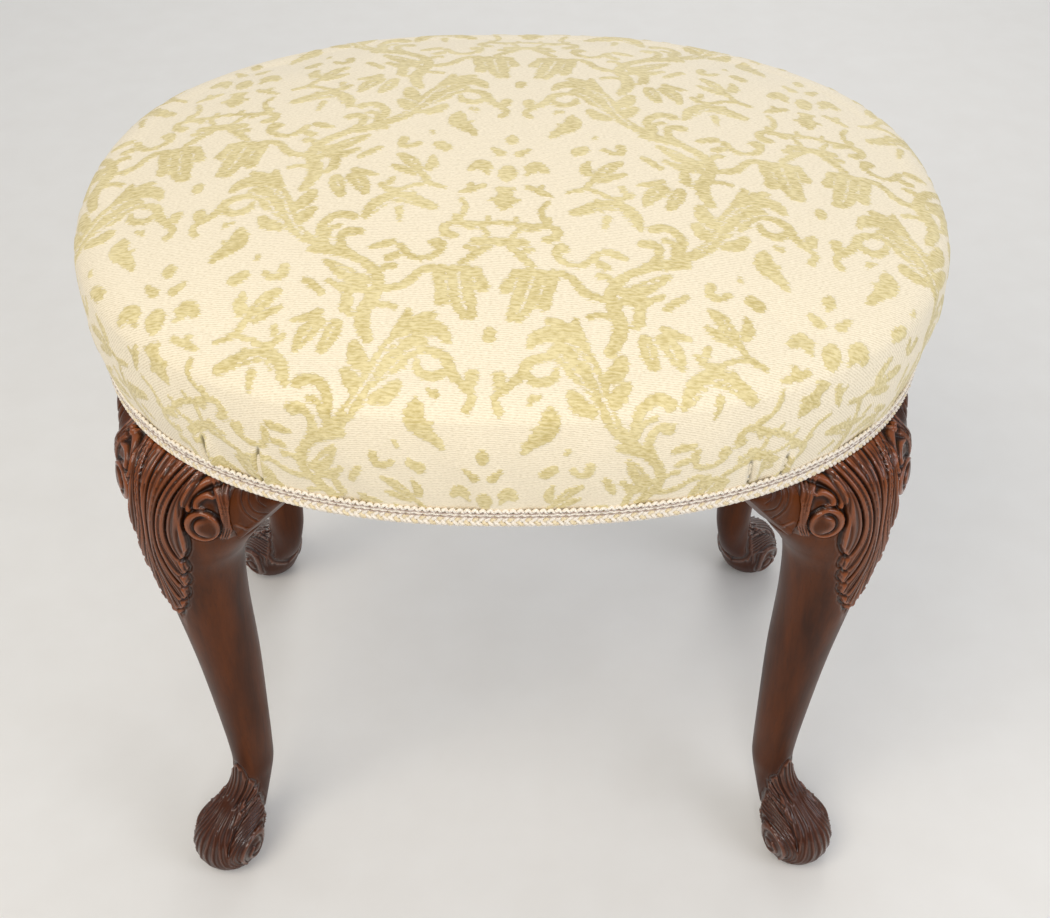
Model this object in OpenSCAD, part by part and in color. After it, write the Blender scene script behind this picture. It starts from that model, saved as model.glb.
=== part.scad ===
// Oval vanity stool: four carved cabriole legs, a curved frame and a stuffed-over seat.
// Origin at floor level under the seat's centre. +X runs along the long side, +Y to the back.

/* [Seat] */
// Width of the seat at its lower edge
seat_w = 475; // [380:1:620]
// Depth of the seat at its lower edge
seat_d = 374; // [300:1:480]
// Squareness of the oval: 2 is an ellipse, more is squarer
oval_power = 2.3; // [2:0.01:3]
// Height of the seat's lower edge over the floor
leg_h = 372; // [280:1:450]
// Height of the upright side of the seat
wall_h = 75; // [72:1:110]
// Swell of the side over its lower edge
wall_swell = 11; // [6:0.5:20]
// Width of the rounded upper edge
edge_w = 22; // [16:0.5:34]
// Height of the rounded upper edge
edge_h = 12; // [10:0.5:20]
// Rise of the top from its edge to its middle
crown_h = 20; // [8:0.5:40]

/* [Frame] */
// Height of the rails
rail_h = 60; // [46:0.5:66]
// Thickness of the rails
rail_t = 26; // [20:0.5:32]
// Width of the slope that is rasped on the rails' upper outer edge
rasp_w = 6; // [2:0.5:10]
// Width of a leg's post between the two rails that it joins
post_w = 60; // [48:1:70]
// Depth of a leg's post, from the seat's line inwards
post_d = 62; // [50:1:72]
// Diameter of the dowels
dowel_d = 8; // [6:0.5:10]
// Length of the dowels
dowel_l = 36; // [24:1:44]
// Play of a dowel in its hole, on the diameter
dowel_play = 0.1; // [0.05:0.05:0.3]

/* [Legs] */
// Direction that the knees face, from the X axis
leg_angle = 50; // [40:1:60]
// Place of the legs round the oval, from the X axis
corner_angle = 34; // [30:0.5:38]
// Side of the square stock that a leg is sawn from
stock = 68; // [56:1:80]
// Width of the knee between its two brackets
knee_w = 92; // [80:1:104]
// Length of a knee bracket along the rail
bracket_l = 28; // [18:1:40]
// Thickness of a knee bracket behind the seat's line
bracket_t = 20; // [12:1:24]
// Radius of the flat under a foot
foot_flat_r = 12; // [8:0.5:16]
// Thickness of the flat under a foot
foot_flat_t = 1.5; // [0.5:0.1:3]
// How far a post runs down into the knee
post_root = 3; // [1:0.5:6]

/* [Carving] */
// How far the knee's leaf stands out from the leg
leaf_t = 2; // [1:0.1:3]
// How far the foot's leaf stands out from the leg
toe_leaf_t = 1.4; // [0.8:0.1:2]
// Diameter of the scrolls on a knee
volute_d = 21; // [16:0.5:24]
// Diameter of the scrolls on a foot
whorl_d = 15; // [10:0.5:18]
// How far a scroll's disc stands out from the leg
scroll_t = 0.8; // [0.4:0.1:2]
// Height of a scroll's ridge over its disc
ridge_t = 1.6; // [0.8:0.1:2.4]

/* [Corner blocks] */
// Height of a corner block
block_h = 46; // [30:1:56]
// Length of a corner block along the post
block_post_l = 26; // [16:1:32]
// Length of a corner block along the rail
block_rail_l = 38; // [24:1:50]
// Diameter of the block screws
screw_d = 4.5; // [3.5:0.1:5.5]
// Length of the block screws
screw_l = 32; // [26:1:34]
// Diameter of the screw heads
screw_head_d = 8.4; // [7:0.1:10]
// Height of the screw heads
screw_head_h = 3; // [2:0.1:4]
// Depth of a screw head's seat under the block's face
screw_sink = 5; // [4:0.5:8]

/* [Webbing] */
// Width of a webbing strip
web_w = 50; // [40:1:56]
// Thickness of a webbing strip
web_t = 1.5; // [1:0.1:2.5]
// Strips along the seat
web_long_count = 4; // [3:1:4]
// Strips across the seat
web_cross_count = 5; // [4:1:5]
// Distance between the middles of neighbouring strips
web_pitch = 72; // [64:1:80]

/* [Soft layers] */
// Thickness of the hessian
hessian_t = 0.8; // [0.5:0.1:1.5]
// Thickness of the calico
calico_t = 0.8; // [0.5:0.1:1.5]
// Thickness of the wadding
wadding_t = 4; // [2:0.5:6]
// Thickness of the damask cover
cover_t = 1.6; // [1:0.1:2.5]
// Thickness of the cloth under the seat
dust_t = 0.8; // [0.5:0.1:1.5]
// Width of that cloth's edge on the rails
dust_lap = 6; // [3:0.5:10]
// Height of the braid
braid_h = 14; // [10:0.5:20]
// Thickness of the braid
braid_t = 2.6; // [1.5:0.1:4]

/* [Hidden] */
// Gap between two soft pieces, and between a soft piece and a hard one
gap = 0.3;
// Gap between two crossing strips of webbing
web_gap = 0.1;
// Overrun of every cut
over = 1;
// Radial gap round a screw's shank in a block
screw_play = 0.25;
// Radial gap round a screw's shank in the frame
pilot_play = 0.05;
// Sides of the oval outline
oval_n = 48;
// Points round one section of a leg
leg_n = 18;
// Sections between two rows of the leg's table
leg_steps = 2;
// Sections along a knee bracket
bracket_n = 6;
// Facets of round holes and pegs
round_n = 32;
// Halvings in the search for the seat's line
line_steps = 24;

half_w = seat_w / 2;
half_d = seat_d / 2;
// The rails' outer face lies this far inside the seat's line
rail_in = cover_t + gap;
rail_top = leg_h + rail_h;
wall_top = leg_h + wall_h;
edge_top = wall_top + edge_h;
post_half = post_w / 2;
knee_half = knee_w / 2;
web_z = rail_top;
web_top = web_z + 2 * web_t + web_gap;
hessian_z = web_top + web_gap;
pad_z = hessian_z + hessian_t + gap;
// Depth of each soft layer's outer face under the cover's outer face
wadding_in = cover_t + gap;
calico_in = wadding_in + wadding_t + gap;
pad_in = calico_in + calico_t + gap;

// Share of the wall's height where each soft layer ends
wadding_end_share = 0.1;
calico_end_share = 0.27;
pad_end_share = 0.33;
// Heights of the rings up the wall, over the layer's lower end
wall_shares = [0, 0.22, 0.5, 0.76, 1];
// Angles of the rings round the upper edge
edge_angles = [30, 60, 90];
// Rings over the top, as shares of its half-width
top_shares = [0.76, 0.4];
// The wall's swell follows this part of a half wave
swell_share = 0.62;

// Leg sections from the floor to the rail: height as a share of leg_h, then front,
// back and half-width as shares of the stock, measured from the seat's line
leg_shares = [
    [0.003, 0.411, 0.091, 0.165],
    [0.016, 0.491, 0.011, 0.250],
    [0.043, 0.559, -0.066, 0.312],
    [0.073, 0.563, -0.112, 0.325],
    [0.102, 0.461, -0.189, 0.312],
    [0.134, 0.270, -0.295, 0.270],
    [0.167, 0.103, -0.372, 0.226],
    [0.204, 0.011, -0.414, 0.203],
    [0.247, -0.016, -0.436, 0.205],
    [0.349, 0.019, -0.461, 0.240],
    [0.511, 0.115, -0.475, 0.277],
    [0.672, 0.242, -0.448, 0.330],
    [0.780, 0.336, -0.469, 0.400],
    [0.833, 0.364, -0.541, 0.515],
    [0.882, 0.358, -0.670, 0.676],
    [0.927, 0.329, -0.834, 0.794],
    [0.962, 0.267, -0.910, 0.853],
    [0.984, 0.161, -0.911, 0.882],
    [1.000, 0.015, -0.912, 0.882]
];
// Outer face of a knee bracket from its top down: depth share and swell share
bracket_shares = [[0, 0.05], [0.14, 0.55], [0.32, 0.92], [0.6, 1], [0.85, 0.6], [1, 0.1]];
// Depth and swell of a bracket where it meets the knee, as shares of the stock
bracket_drop_share = 0.62;
bracket_swell_share = 0.19;
// What is left of both at a bracket's far end
bracket_tip_share = 0.1;
// Half outline of the knee's leaf from its top down: height as a share of leg_h, then
// half-width as a share of the stock
leaf_shares = [
    [1, 0.44], [0.965, 0.38], [0.93, 0.32], [0.9, 0.3], [0.862, 0.36], [0.858, 0.27],
    [0.822, 0.31], [0.818, 0.21], [0.784, 0.25], [0.78, 0.15], [0.748, 0.18], [0.744, 0.09],
    [0.716, 0.11], [0.684, 0]
];
// Half outline of the foot's leaf from its tip down, in the same shares
toe_leaf_shares = [
    [0.222, 0], [0.2, 0.06], [0.164, 0.09], [0.188, 0.13], [0.184, 0.16], [0.142, 0.2],
    [0.15, 0.25], [0.124, 0.3], [0.112, 0.5], [0, 0.5]
];
// First and last section of the skins that the two leaves are cut from
leaf_sections = [21, 36];
toe_sections = [0, 16];
// Angle from the middle of the front to either edge of those skins, and the step between points
skin_angle = 100;
skin_step = 20;
// Height of the scrolls as shares of leg_h, and the place of a foot's scroll round its section
volute_share = 0.92;
whorl_share = 0.06;
whorl_angle = 92;
// Turns of a scroll's ridge, and its points on each edge
scroll_turns = 1.4;
scroll_n = 22;
// Width of the ridge and radius of the eye, as shares of a scroll's radius
ridge_share = 0.3;
eye_share = 0.24;
// How deep a scroll's disc is let in, as a share of its radius
scroll_root_share = 0.7;
// Ends of the braid's lean, as shares of its height
braid_bend_share = 0.3;
// Dowel and screw heights, as shares of the rail's height
dowel_share = [0.3, 0.7];
screw_share = [0.26, 0.5];
// Place of the screws along a block's face, as a share of its length from the post
screw_side_share = 0.42;
// Lower edge of a block, as a share of the rail's height
block_low_share = 0.12;

// Point of the oval at an angle, its half-axes grown by a length
function oval_point(angle, grow) =
    let (x = abs(cos(angle)) / (half_w + grow), y = abs(sin(angle)) / (half_d + grow))
    let (r = pow(pow(x, oval_power) + pow(y, oval_power), -1 / oval_power))
    [r * cos(angle), r * sin(angle)];

// Outline of the oval, grown by a length
function oval_outline(grow) = [for (i = [0:oval_n - 1]) oval_point(360 * i / oval_n, grow)];

// Ring of the oval at a height
function oval_ring(grow, z) = [for (p = oval_outline(grow)) [p[0], p[1], z]];

// Ring over the top of a layer, a share of the way out from the middle
function top_ring(share, depth) =
    [for (p = oval_outline(wall_out(1) - edge_w)) [p[0] * share, p[1] * share, top_z(share) - depth]];

// Height of the top's outer face, a share of the way out from the middle
function top_z(share) = edge_top + crown_h * (1 - share * share);

// How far the wall stands out from the seat's line, a share of the way up
function wall_out(share) = wall_swell * sin(180 * swell_share * share);

// Growth and height of the wall at a share of its height
function wall_at(share, depth) = [wall_out(share) - depth, leg_h + share * wall_h];

// Growth and height round the upper edge at an angle
function edge_at(angle, depth) =
    [wall_out(1) - edge_w + (edge_w - depth) * cos(angle), wall_top + (edge_h - depth) * sin(angle)];

// Face of a soft layer at a depth under the cover, from its lower end to its middle.
// It never goes in past the given line, where the frame is.
function layer_rings(end_share, depth, line) = concat(
    [for (s = wall_shares) let (at = wall_at(end_share + s * (1 - end_share), depth))
        oval_ring(max(at[0], line), at[1])],
    [for (a = edge_angles) let (at = edge_at(a, depth)) oval_ring(at[0], at[1])],
    [for (s = top_shares) top_ring(s, depth)]
);

function reversed(list) = [for (i = [len(list) - 1:-1:0]) list[i]];
function flat(lists) = [for (l = lists) each l];

// Solid through rings of equally many points, from the first ring to the last.
// A ring's points run anticlockwise seen from above when the rings climb.
module loft(rings, ends = []) {
    n = len(rings[0]);
    m = len(rings);
    sides = [for (k = [0:m - 2], i = [0:n - 1]) let (j = (i + 1) % n)
        each [[k * n + i, (k + 1) * n + i, (k + 1) * n + j], [k * n + i, (k + 1) * n + j, k * n + j]]];
    first = len(ends) > 0
        ? [for (i = [0:n - 1]) [m * n, i, (i + 1) % n]]
        : [[for (i = [0:n - 1]) i]];
    last = len(ends) > 0
        ? [for (i = [0:n - 1]) [m * n + 1, (m - 1) * n + (i + 1) % n, (m - 1) * n + i]]
        : [[for (i = [n - 1:-1:0]) (m - 1) * n + i]];
    polyhedron(points = concat(flat(rings), ends), faces = concat(sides, first, last));
}

// Ring of one section swept round the whole oval; the section is [growth, height] points
module oval_band(section) {
    m = len(section);
    points = [for (p = section) each oval_ring(p[0], p[1])];
    faces = [for (k = [0:m - 1], i = [0:oval_n - 1])
        let (j = (i + 1) % oval_n, a = k * oval_n, b = ((k + 1) % m) * oval_n)
        each [[a + i, b + i, b + j], [a + i, b + j, a + j]]];
    polyhedron(points = points, faces = faces);
}

// Soft layer between two depths under the cover, open below
module soft_shell(end_share, depth, thickness) {
    outer = layer_rings(end_share, depth, gap - rail_in);
    inner = layer_rings(end_share, depth + thickness, gap - rail_in);
    loft(concat(reversed(inner), outer),
        [[0, 0, top_z(0) - depth - thickness], [0, 0, top_z(0) - depth]]);
}

// Puts its children at one corner. sx and sy are 1 or -1.
module at_corner(sx, sy) {
    mirror([sx < 0 ? 1 : 0, 0, 0]) mirror([0, sy < 0 ? 1 : 0, 0]) children();
}

// Frame of one leg: local X points out of the seat, local Y runs along it
corner_point = oval_point(corner_angle, 0);
module leg_frame() {
    translate([corner_point[0], corner_point[1], 0]) rotate([0, 0, leg_angle]) children();
}

// Depth of the seat's line in a leg's frame, at a distance along it
function line_depth(along, low, high, steps) =
    let (mid = (low + high) / 2)
    steps == 0 ? mid : oval_level(mid, along) > 1
        ? line_depth(along, low, mid, steps - 1)
        : line_depth(along, mid, high, steps - 1);
function oval_level(out, along) =
    let (x = corner_point[0] + out * cos(leg_angle) - along * sin(leg_angle))
    let (y = corner_point[1] + out * sin(leg_angle) + along * cos(leg_angle))
    pow(abs(x) / half_w, oval_power) + pow(abs(y) / half_d, oval_power);
function seat_line(along) = line_depth(along, -stock, stock, line_steps);

// Smooth curve through four neighbouring rows, a share of the way from b to c
function blend(a, b, c, d, t) =
    b + t * (c - a) / 2 + t * t * (a - 5 * b / 2 + 2 * c - d / 2) + t * t * t * (3 * b - a - 3 * c + d) / 2;
leg_last = len(leg_shares) - 1;
function leg_row(i) = leg_shares[max(0, min(leg_last, i))];
function leg_section(k) =
    let (i = floor(k / leg_steps), t = k / leg_steps - i)
    blend(leg_row(i - 1), leg_row(i), leg_row(i + 1), leg_row(i + 2), t);

// One ring of the leg: an oval section with flat sides where the brackets are glued
function leg_ring(k) =
    let (s = leg_section(k))
    [for (i = [0:leg_n - 1]) let (a = 360 * i / leg_n, w = stock * s[3] * sin(a))
        [middle(s) + reach(s) * cos(a), max(-knee_half, min(knee_half, w)), leg_h * s[0]]];

// Section of the leg at any height, read off the table
function section_at(share) =
    [share, for (c = [1:3]) lookup(share, [for (r = leg_shares) [r[0], r[c]]])];

// Middle and half-length of a section in the leg's frame
function middle(s) = stock * (s[1] + s[2]) / 2;
function reach(s) = stock * (s[1] - s[2]) / 2;

// One ring of the skin over the leg's front, a length proud of the leg
function skin_ring(k, proud) = let (s = leg_section(k))
    [for (a = [-skin_angle:skin_step:skin_angle])
        [middle(s) + (reach(s) + proud) * cos(a), (stock * s[3] + proud) * sin(a), leg_h * s[0]]];

// Skin over part of the leg's front, cut to an outline seen from the front
module leaf(sections, proud, shares) {
    side = [for (p = shares) [stock * p[1], leg_h * p[0]]];
    intersection() {
        loft([for (k = [sections[0]:sections[1]]) skin_ring(k, proud)]);
        translate([-stock / 2, 0, 0]) rotate([90, 0, 90]) linear_extrude(2 * stock)
            polygon(concat(side, [for (p = reversed(side)) [-p[0], p[1]]]));
    }
}

// Ridge of a scroll seen from its face: a band that winds in to the eye
function scroll_edge(radius, offset) = [for (i = [0:scroll_n])
    let (t = i / scroll_n, a = -360 * scroll_turns * t)
    let (r = radius * (1 - ridge_share / 2 - (1 - ridge_share - eye_share) * t) + offset * (1 - t / 2))
    [r * cos(a), r * sin(a)]];

// Scroll on the leg: a disc with a spiral ridge and an eye, at an angle round a section
module scroll(share, angle, diameter) {
    s = section_at(share);
    radius = diameter / 2;
    half_ridge = radius * ridge_share / 2;
    facing = atan2(sin(angle) / s[3], stock * cos(angle) / reach(s));
    translate([middle(s) + reach(s) * cos(angle), stock * s[3] * sin(angle), leg_h * share])
        rotate([0, 90, facing]) {
            translate([0, 0, -radius * scroll_root_share])
                cylinder(h = radius * scroll_root_share + scroll_t, r = radius, $fn = round_n);
            linear_extrude(scroll_t + ridge_t)
                polygon(concat(scroll_edge(radius, half_ridge), reversed(scroll_edge(radius, -half_ridge))));
            cylinder(h = scroll_t + ridge_t, r = radius * eye_share, $fn = round_n);
        }
}

// Leaf and scrolls on the knee, the scrolls just clear of the brackets
module knee_carving() {
    leaf(leaf_sections, leaf_t, leaf_shares);
    side_angle = asin((knee_half - volute_d / 2) / (stock * section_at(volute_share)[3]));
    for (side = [0, 1]) mirror([0, side, 0]) scroll(volute_share, side_angle, volute_d);
}

// Leaf and scrolls on the foot
module foot_carving() {
    leaf(toe_sections, toe_leaf_t, toe_leaf_shares);
    for (side = [0, 1]) mirror([0, side, 0]) scroll(whorl_share, whorl_angle, whorl_d);
}

// Area inside the oval, grown by a length
module frame_area(grow) {
    polygon(oval_outline(grow));
}

// Area of a leg's post seen from above, in the seat's frame
module post_area() {
    intersection() {
        frame_area(-rail_in);
        leg_frame_2d() translate([-post_d, -post_half]) square([post_d + stock, post_w]);
    }
}
module leg_frame_2d() {
    translate(corner_point) rotate(leg_angle) children();
}

// Pegs of the two dowels at one side of a post. side is 1 or -1.
module dowel_pegs(side, d, l) {
    out = seat_line(side * post_half) - rail_in - rail_t / 2;
    for (s = dowel_share)
        leg_frame() translate([out, side * post_half, leg_h + s * rail_h])
            rotate([90, 0, 0]) cylinder(h = l, d = d, center = true, $fn = round_n);
}

// Inner face of a rail in a leg's frame, at a distance from the post
function rail_face(side, along) = seat_line(side * (post_half + along)) - rail_in - rail_t;

// Point on a corner block's long face, a share of the way from the post to the rail
function block_face(side, t) = [
    rail_face(side, 0) * (1 - t) + rail_face(side, block_rail_l) * t - block_post_l * (1 - t),
    side * (post_half + block_rail_l * t)
];

// Line along a block screw, from its head's seat inwards. side is 1 or -1; part is 0 for the
// screw into the post and 1 for the one into the rail.
module block_screw_line(side, part) {
    spot = block_face(side, screw_side_share);
    z = leg_h + rail_h * screw_share[part];
    leg_frame() if (part == 0)
        translate([spot[0], spot[1] - side * screw_sink, z]) rotate([side * 90, 0, 0]) children();
    else
        translate([spot[0] + screw_sink, spot[1], z]) rotate([0, 90, 0]) children();
}
module screw_shanks(side, play) {
    for (part = [0, 1])
        block_screw_line(side, part) cylinder(h = screw_l - screw_head_h, d = screw_d + 2 * play, $fn = round_n);
}
module screw_heads(side, play) {
    for (part = [0, 1])
        block_screw_line(side, part) translate([0, 0, -screw_head_h])
            cylinder(h = screw_head_h, d = screw_head_d + 2 * play, $fn = round_n);
}
// Room for the screwdriver above each head
module screw_mouths(side) {
    for (part = [0, 1])
        block_screw_line(side, part) translate([0, 0, -block_rail_l])
            cylinder(h = block_rail_l, d = screw_head_d + 2 * screw_play, $fn = round_n);
}

// Carved cabriole leg: post, knee, tapering shin, ankle and scrolled foot
module leg() {
    color("saddlebrown") difference() {
        union() {
            leg_frame() loft([for (k = [0:leg_last * leg_steps]) leg_ring(k)]);
            leg_frame() translate([middle(leg_shares[0]), 0, 0])
                cylinder(h = foot_flat_t, r = foot_flat_r, $fn = round_n);
            translate([0, 0, leg_h - post_root]) linear_extrude(rail_h + post_root) post_area();
            leg_frame() knee_carving();
            leg_frame() foot_carving();
        }
        for (side = [-1, 1]) {
            dowel_pegs(side, dowel_d + dowel_play, dowel_l + dowel_play);
            screw_shanks(side, pilot_play);
        }
    }
}

// One section of a knee bracket, square to the knee's side
function bracket_section(side, t) =
    let (along = side * (knee_half + t * bracket_l), line = seat_line(along))
    let (left = 1 - (1 - bracket_tip_share) * t)
    let (drop = stock * bracket_drop_share * left, swell = stock * bracket_swell_share * left)
    concat(
        [for (s = bracket_shares) [line + swell * s[1], along, leg_h - drop * s[0]]],
        [[line - rail_in - bracket_t, along, leg_h - drop], [line - rail_in - bracket_t, along, leg_h]]
    );

// Knee bracket: the ear that runs from the knee out under the rail. side is 1 or -1.
module knee_bracket(side) {
    rings = [for (i = [0:bracket_n - 1]) bracket_section(side, i / (bracket_n - 1))];
    color("sienna") leg_frame() loft(side > 0 ? rings : reversed(rings));
}

// Section of a rail, with its upper outer edge rasped to a slope
rail_section = [
    [-rail_in - rail_t, leg_h], [-rail_in, leg_h], [-rail_in, rail_top - rasp_w],
    [-rail_in - rasp_w, rail_top], [-rail_in - rail_t, rail_top]
];

// Part of the frame between two neighbouring corners, as a wedge from the seat's middle.
// from and to are the two corners' signs, in anticlockwise order.
module rail_wedge(from, to) {
    reach = seat_w + seat_d;
    a = [corner_point[0] * from[0], corner_point[1] * from[1]];
    b = [corner_point[0] * to[0], corner_point[1] * to[1]];
    translate([0, 0, leg_h - over]) linear_extrude(rail_h + 2 * over)
        polygon([[0, 0], a * reach / norm(a), (a + b) * reach / norm(a + b) * 2, b * reach / norm(b)]);
}

// Curved beech rail between two corners
module rail(from, to) {
    color("burlywood") difference() {
        intersection() {
            oval_band(rail_section);
            rail_wedge(from, to);
        }
        for (c = [from, to]) at_corner(c[0], c[1]) {
            translate([0, 0, leg_h - over]) linear_extrude(rail_h + 2 * over)
                leg_frame_2d() translate([-post_d - over, -post_half]) square([post_d + stock, post_w]);
            for (side = [-1, 1]) {
                dowel_pegs(side, dowel_d + dowel_play, dowel_l + dowel_play);
                screw_shanks(side, pilot_play);
            }
        }
    }
}

// Dowels that join the rails to the posts
module frame_dowels() {
    color("wheat") for (sx = [-1, 1], sy = [-1, 1], side = [-1, 1])
        at_corner(sx, sy) dowel_pegs(side, dowel_d, dowel_l);
}

// Area of a glue block, in the angle between the post and the rail's inner face
module block_area(side) {
    near = block_face(side, 0);
    far = block_face(side, 1);
    intersection() {
        frame_area(-rail_in - rail_t);
        leg_frame_2d() polygon([near, [near[0] + 2 * block_post_l, near[1]], [far[0] + 2 * block_post_l, far[1]], far]);
    }
}

// The two glue blocks behind one leg
module corner_blocks() {
    color("tan") for (side = [-1, 1]) difference() {
        translate([0, 0, leg_h + rail_h * block_low_share]) linear_extrude(block_h) block_area(side);
        screw_shanks(side, screw_play);
        screw_mouths(side);
    }
}

// Screws through the blocks into posts and rails
module corner_block_screws() {
    color("darkgray") for (sx = [-1, 1], sy = [-1, 1], side = [-1, 1]) at_corner(sx, sy) {
        screw_shanks(side, 0);
        screw_heads(side, 0);
    }
}

// Places of count strips, evenly about the middle
function strip_places(count) = [for (i = [0:count - 1]) (i - (count - 1) / 2) * web_pitch];

// Half-length of a strip whose middle line lies at a distance from the seat's middle.
// It ends on the rails' upper face.
function strip_half(place, across, along) =
    let (edge = (abs(place) + web_w / 2) / (across - rail_in - rasp_w))
    (along - rail_in - rasp_w) * pow(1 - pow(edge, oval_power), 1 / oval_power);

// Strip along X that goes over and under the strips that cross it
module woven_strip(half, crossings, first_over) {
    up = web_t + web_gap;
    ramp = (web_pitch - web_w) / 4;
    inside = [for (i = [0:len(crossings) - 1]) if (abs(crossings[i]) - web_w / 2 < half) i];
    tops = [for (i = inside) let (z = (i + first_over) % 2 == 0 ? up : 0, reach = web_w / 2 + ramp)
        each [[max(-half, crossings[i] - reach), z], [min(half, crossings[i] + reach), z]]];
    path = concat(
        tops[0][0] > -half ? [[-half, 0]] : [],
        tops,
        tops[len(tops) - 1][0] < half ? [[half, 0]] : []
    );
    rings = [for (p = path) [
        [p[0], -web_w / 2, web_z + p[1]], [p[0], -web_w / 2, web_z + p[1] + web_t],
        [p[0], web_w / 2, web_z + p[1] + web_t], [p[0], web_w / 2, web_z + p[1]]
    ]];
    loft(rings);
}

// Jute webbing along the seat
module webbing_lengthwise() {
    places = strip_places(web_long_count);
    color("peru") for (i = [0:web_long_count - 1]) translate([0, places[i], 0])
        woven_strip(strip_half(places[i], half_d, half_w), strip_places(web_cross_count), i);
}

// Jute webbing across the seat, woven through the other strips
module webbing_crosswise() {
    places = strip_places(web_cross_count);
    color("peru") for (i = [0:web_cross_count - 1]) translate([places[i], 0, 0]) rotate([0, 0, 90])
        woven_strip(strip_half(places[i], half_w, half_d), strip_places(web_long_count), i + 1);
}

// Hessian over the webbing
module hessian() {
    color("darkkhaki") translate([0, 0, hessian_z]) linear_extrude(hessian_t) frame_area(-rail_in - rasp_w);
}

// Stuffing with an edge that overhangs the rails
module stuffing_pad() {
    outer = layer_rings(pad_end_share, pad_in, gap - rail_in);
    low = leg_h + pad_end_share * wall_h;
    rings = concat([oval_ring(gap - rail_in, pad_z), oval_ring(gap - rail_in, low)], outer);
    color("ivory") loft(rings, [[0, 0, pad_z], [0, 0, top_z(0) - pad_in]]);
}

// Calico that holds the stuffing down
module calico_cover() {
    color("linen") soft_shell(calico_end_share, calico_in, calico_t);
}

// Cotton wadding under the cover
module wadding() {
    color("white") soft_shell(wadding_end_share, wadding_in, wadding_t);
}

// Woven damask cover, tacked along the rails' lower edge
module damask_cover() {
    color("khaki") soft_shell(0, 0, cover_t);
}

// Braid round the cover's lower edge: a flat band between two cords
module gimp_braid() {
    low = leg_h + gap;
    lean = wall_out(braid_h / wall_h);
    section = [
        [gap, low], [gap + braid_t, low],
        [gap + braid_t + lean * braid_bend_share, low + braid_h * braid_bend_share],
        [gap + braid_t + lean, low + braid_h], [gap + lean, low + braid_h]
    ];
    color("palegoldenrod") oval_band(section);
}

// Bottoming cloth tacked under the rails, cut out round the legs
module dust_cover() {
    color("dimgray") translate([0, 0, leg_h - dust_t]) linear_extrude(dust_t) difference() {
        frame_area(-rail_in - rail_t + dust_lap);
        for (sx = [-1, 1], sy = [-1, 1]) at_corner_2d(sx, sy) leg_frame_2d()
            translate([-post_d - gap, -knee_half - gap]) square([post_d + stock, knee_w + 2 * gap]);
    }
}
module at_corner_2d(sx, sy) {
    mirror([sx < 0 ? 1 : 0, 0]) mirror([0, sy < 0 ? 1 : 0]) children();
}

at_corner(-1, -1) leg();  // leg_front_left
at_corner(1, -1) leg();  // leg_front_right
at_corner(-1, 1) leg();  // leg_back_left
at_corner(1, 1) leg();  // leg_back_right
at_corner(-1, -1) knee_bracket(1);  // knee_bracket_front_left_front
at_corner(-1, -1) knee_bracket(-1);  // knee_bracket_front_left_side
at_corner(1, -1) knee_bracket(1);  // knee_bracket_front_right_front
at_corner(1, -1) knee_bracket(-1);  // knee_bracket_front_right_side
at_corner(-1, 1) knee_bracket(1);  // knee_bracket_back_left_back
at_corner(-1, 1) knee_bracket(-1);  // knee_bracket_back_left_side
at_corner(1, 1) knee_bracket(1);  // knee_bracket_back_right_back
at_corner(1, 1) knee_bracket(-1);  // knee_bracket_back_right_side
rail([-1, -1], [1, -1]);  // rail_front
rail([1, -1], [1, 1]);  // rail_right
rail([1, 1], [-1, 1]);  // rail_back
rail([-1, 1], [-1, -1]);  // rail_left
frame_dowels();
at_corner(-1, -1) corner_blocks();  // corner_blocks_front_left
at_corner(1, -1) corner_blocks();  // corner_blocks_front_right
at_corner(-1, 1) corner_blocks();  // corner_blocks_back_left
at_corner(1, 1) corner_blocks();  // corner_blocks_back_right
corner_block_screws();
webbing_lengthwise();
webbing_crosswise();
hessian();
stuffing_pad();
calico_cover();
wadding();
damask_cover();
gimp_braid();
dust_cover();
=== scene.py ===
import math

import bmesh
import bpy
import numpy as np
from mathutils import Matrix, Vector


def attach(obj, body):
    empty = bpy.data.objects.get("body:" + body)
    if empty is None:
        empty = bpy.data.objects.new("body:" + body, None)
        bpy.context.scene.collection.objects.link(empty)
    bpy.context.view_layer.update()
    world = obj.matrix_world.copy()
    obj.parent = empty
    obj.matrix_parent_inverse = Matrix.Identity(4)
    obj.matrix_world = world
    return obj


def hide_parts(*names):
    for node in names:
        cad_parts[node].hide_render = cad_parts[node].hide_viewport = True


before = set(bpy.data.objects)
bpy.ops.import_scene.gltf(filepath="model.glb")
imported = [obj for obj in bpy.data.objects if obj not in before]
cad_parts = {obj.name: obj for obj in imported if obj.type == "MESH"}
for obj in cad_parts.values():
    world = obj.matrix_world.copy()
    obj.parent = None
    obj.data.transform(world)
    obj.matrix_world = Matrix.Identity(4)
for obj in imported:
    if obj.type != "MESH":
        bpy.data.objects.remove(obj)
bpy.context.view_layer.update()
scene = bpy.context.scene
scene.view_settings.view_transform = "Standard"

# Camera
# A hand-held view from standing height, looking steeply down at the front of the stool.
# Its place, turn and lens are those that the stool's outline in the photograph gives.
eye = Vector((-0.008903, -0.755858, 0.936585))
yaw, pitch, roll = (math.radians(x) for x in (1.310, 42.391, 0.616))
ahead = Vector((math.sin(yaw) * math.cos(pitch), math.cos(yaw) * math.cos(pitch), -math.sin(pitch)))
level = Vector((math.cos(yaw), -math.sin(yaw), 0))
upright = level.cross(ahead)
right = math.cos(roll) * level + math.sin(roll) * upright
top = math.cos(roll) * upright - math.sin(roll) * level
camera = bpy.data.objects.new("camera", bpy.data.cameras.new("camera"))
camera.data.sensor_width = 36
camera.data.lens = 52.535
camera.data.clip_start = 0.02
camera.matrix_world = Matrix.Translation(eye) @ Matrix((right, top, -ahead)).transposed().to_4x4()
scene.collection.objects.link(camera)
scene.camera = camera

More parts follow.
